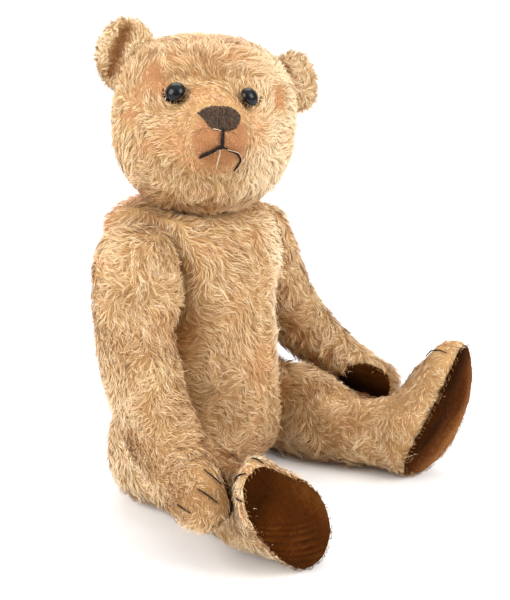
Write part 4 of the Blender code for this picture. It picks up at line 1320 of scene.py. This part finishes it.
def add_pad(node, body, side):
    """A velvet pad with tension folds, its rolled edge, and the ragged whip stitches that hold it."""
    shape = PadShape(node, body + "_cover")
    sole = node.startswith("sole")
    rings = SOLE_RINGS if sole else PAW_RINGS
    shares = np.linspace(1.0, 0.0, rings + 1)[:-1] ** 0.8
    points = np.concatenate([shape.place(share) for share in shares] + [[shape.place(0.0)[0]]])
    local = points - shape.middle
    u, v = local @ shape.up / shape.half[1], local @ shape.across / shape.half[0]
    share = np.append(np.repeat(shares, PAD_SIDES), 0.0)
    folds = sole_folds(u, v, side) if sole else 0.0 * u
    lump = 0.0006 * Waves(0.022, 91)(points) + 0.0002 * Waves(0.006, 92)(points)
    rise = (folds + lump) * smooth_step(1.0 - share, 0.0, 0.12) - 0.0016 * smooth_step(share, 0.93, 1.0)
    points += shape.out * rise[:, None]
    ragged = 0.0006 * Waves(0.005, 93)(points) * smooth_step(share, 0.9, 1.0)
    points += unit(local + 1e-9) * ragged[:, None]
    faces = ring_faces(0, rings, PAD_SIDES)
    last, top = (rings - 1) * PAD_SIDES, len(points) - 1
    faces += [(last + k, last + (k + 1) % PAD_SIDES, top) for k in range(PAD_SIDES)]
    made = object_of(node + "_velvet", points, faces)
    mesh = made.data
    # Painted shade: darker towards the rim, on the left sole along one side only
    edge = smooth_step(share, 0.62, 1.0) * (1.0 if side < 0.0 else 1.0 - smooth_step(v, -0.3, 0.4))
    # The velvet's own nap, with painted light and shade: fold ridges lighter, each sole lighter on its lit
    # side and darker towards the toe
    nap_and_painted_light = 0.40 + 0.05 * Waves(0.030, 94)(points) + 0.02 * Waves(0.007, 95)(points) + 190.0 * folds
    nap_and_painted_light += 0.20 * smooth_step(v, 0.0, 1.0) if side < 0.0 else 0.75 * smooth_step(v, -0.6, 0.9) - 0.20
    nap_and_painted_light += 0.06 * smooth_step(-u, 0.0, 1.0) - 0.16 * smooth_step(u, 0.0, 1.0)
    set_colours(mesh, "nap_and_painted_light", np.stack((edge, np.clip(nap_and_painted_light, 0.0, 1.0), 0.5 + 0.5 * v, np.ones(len(v))), 1))
    if normals_of(mesh).mean(0) @ shape.out < 0.0:
        mesh.flip_normals()
    cloth = made.modifiers.new("cloth", "SOLIDIFY")
    cloth.thickness, cloth.offset = PAD_THICK, -1.0
    apply_modifiers(made)
    put_on(made, velvet_material(node + "_velvet", *VELVET[node]), body, "velvet", node)
    stitches = whip_stitches(node, shape, SOLE_STITCHES if sole else PAW_STITCHES)
    brown = thread_material(node + "_thread", srgb(84, 52, 26), srgb(142, 102, 62))
    put_on(stitches, brown, body, "thread")


def whip_stitches(node, shape, count):
    """Short slanting threads over the pad's edge, a few of them loose."""
    paths, radii = [], []
    for k in range(count):
        index = int((k + RNG.uniform(-0.25, 0.25)) * PAD_SIDES / count) % PAD_SIDES
        rim = unit(shape.rim[index])
        middle = shape.middle + shape.rim[index]
        slant = np.cross(rim, shape.out) * RNG.normal(0.0009, 0.0006)
        reach = RNG.uniform(0.0009, 0.0018)
        loose = 3.0 if RNG.random() < 0.04 else 1.0
        deep = RNG.uniform(0.0012, 0.003) / loose
        steps = ((-reach, -1.0, 0.0001), (-0.3 * reach, 0.0, 0.0007), (0.0006, 0.5, -0.0002),
                 (0.0008 * loose, 1.0, -deep))
        path = [middle + rim * outward + slant * aside + shape.out * off for outward, aside, off in steps]
        paths.append(resample(path, 7))
        radii.append(RNG.uniform(0.0002, 0.00036))
    return tube_mesh(node + "_whip_stitches", paths, radii, 4)


def main():
    hidden_finishes()
    materials = pile_material(), backing_material()
    skins = {body: add_skin(body, materials) for body in COATS}
    face = tree_of(skins["head"].data)
    black = thread_material("black_thread", srgb(14, 11, 11), srgb(48, 38, 36))
    for side, sign in SIDES.items():
        add_ear(side, materials)
        add_eye(side)
        add_pad("sole_pad_" + side, "leg_" + side, sign)
        add_pad("paw_pad_" + side, "arm_" + side, sign)
    add_nose(face)
    add_loose_threads(face)
    for body, skin in skins.items():
        for node in details_of(body):
            if "claw" in node:
                add_stitch(node, body, CLAW_RADIUS, black, skin, CLAW_LIFT)
            elif "mouth" in node:
                ends = [MOUTH_JOIN, MOUTH_TOP] if "centre" in node else [MOUTH_JOIN]
                joins = [onto(face, x, z, MOUTH_LIFT) for x, z in ends]
                add_stitch(node, body, MOUTH_RADII[node], black, skin, 0.0, HEAD_UP, joins)


def hidden_finishes():
    """Card, steel and thread for the CAD pieces that stay."""
    card = speckled_material("card", 0.9, 0.004, srgb(150, 120, 84), srgb(176, 146, 108))
    steel = speckled_material("steel", 0.45, 0.003, srgb(120, 112, 104), srgb(150, 146, 140), Metallic=0.9)
    thread = speckled_material("dark_thread", 0.85, 0.002, srgb(34, 26, 24), srgb(62, 48, 44))
    kinds = {"disc": card, "washer": steel, "pin": steel}
    for name, node in frame["nodes"].items():
        node.data.materials.clear()
        node.data.materials.append(kinds.get(name.rpartition("_")[2], thread))


# Stage
def area_light(name, place, aim, size, power, colour=(1.0, 1.0, 1.0)):
    light = bpy.data.lights.new(name, "AREA")
    light.shape, light.size, light.energy, light.color = "SQUARE", size, power, colour
    made = new_object(name, light)
    made.location = place
    made.rotation_mode = "QUATERNION"
    made.rotation_quaternion = Vector(aim - place).to_track_quat("-Z", "Y")


def stage():
    """A pale floor that turns up into a backdrop, and soft light from above and in front."""
    bm = bmesh.new()
    turns = [math.radians(90.0 * k / 12.0) for k in range(13)]
    bend = [(2.0 + math.sin(turn), 1.0 - math.cos(turn)) for turn in turns]
    rows = [[bm.verts.new(LEVEL * side - BACK * far + RISE * height) for side in (-6.0, 6.0)]
            for far, height in [(-6.0, 0.0), *bend, (3.0, 5.0)]]
    for row, following in zip(rows, rows[1:]):
        bm.faces.new((row[0], row[1], following[1], following[0]))
    floor = object_from(bm, "studio_floor")
    floor.data.shade_smooth()
    paper = speckled_material("studio_paper", 0.9, 0.5, (0.86, 0.86, 0.86), (0.90, 0.90, 0.90))
    floor.data.materials.append(paper)
    world = bpy.data.worlds.new("studio")
    bpy.context.scene.world = world
    world.use_nodes = True
    light = world.node_tree.nodes["Background"].inputs
    light[0].default_value = (1.0, 1.0, 1.0, 1.0)
    light[1].default_value = 0.54
    target = 0.15 * RISE
    area_light("overhead", 0.25 * LEVEL + 0.15 * BACK + 2.3 * RISE, target, 2.4, 15.0)
    area_light("right_front", 1.5 * LEVEL + 1.1 * BACK + 1.5 * RISE, target, 1.4, 46.0, (1.0, 0.985, 0.965))
    area_light("left_front", -1.7 * LEVEL + 0.9 * BACK + 1.3 * RISE, target, 1.5, 52.0, (0.98, 0.99, 1.0))
    area_light("backdrop", -2.2 * BACK + 2.6 * RISE, -1.6 * BACK, 2.5, 60.0)


def camera():
    data = bpy.data.cameras.new("camera")
    data.lens = CAMERA_LENS
    data.clip_start, data.clip_end = 0.05, 50.0
    made = new_object("camera", data)
    towards = BACK * math.cos(CAMERA_RISE) + RISE * math.sin(CAMERA_RISE)
    place = CAMERA_ABOUT + towards * CAMERA_DISTANCE
    behind = unit(place - CAMERA_AIM)
    right = unit(LEVEL - behind * (LEVEL @ behind))
    matrix = np.eye(4)
    matrix[:3] = np.stack((right, np.cross(behind, right), behind, place), 1)
    made.matrix_world = Matrix(matrix.tolist())
    bpy.context.scene.camera = made
    bpy.context.scene.view_settings.view_transform = "Standard"


stage()
camera()
main()
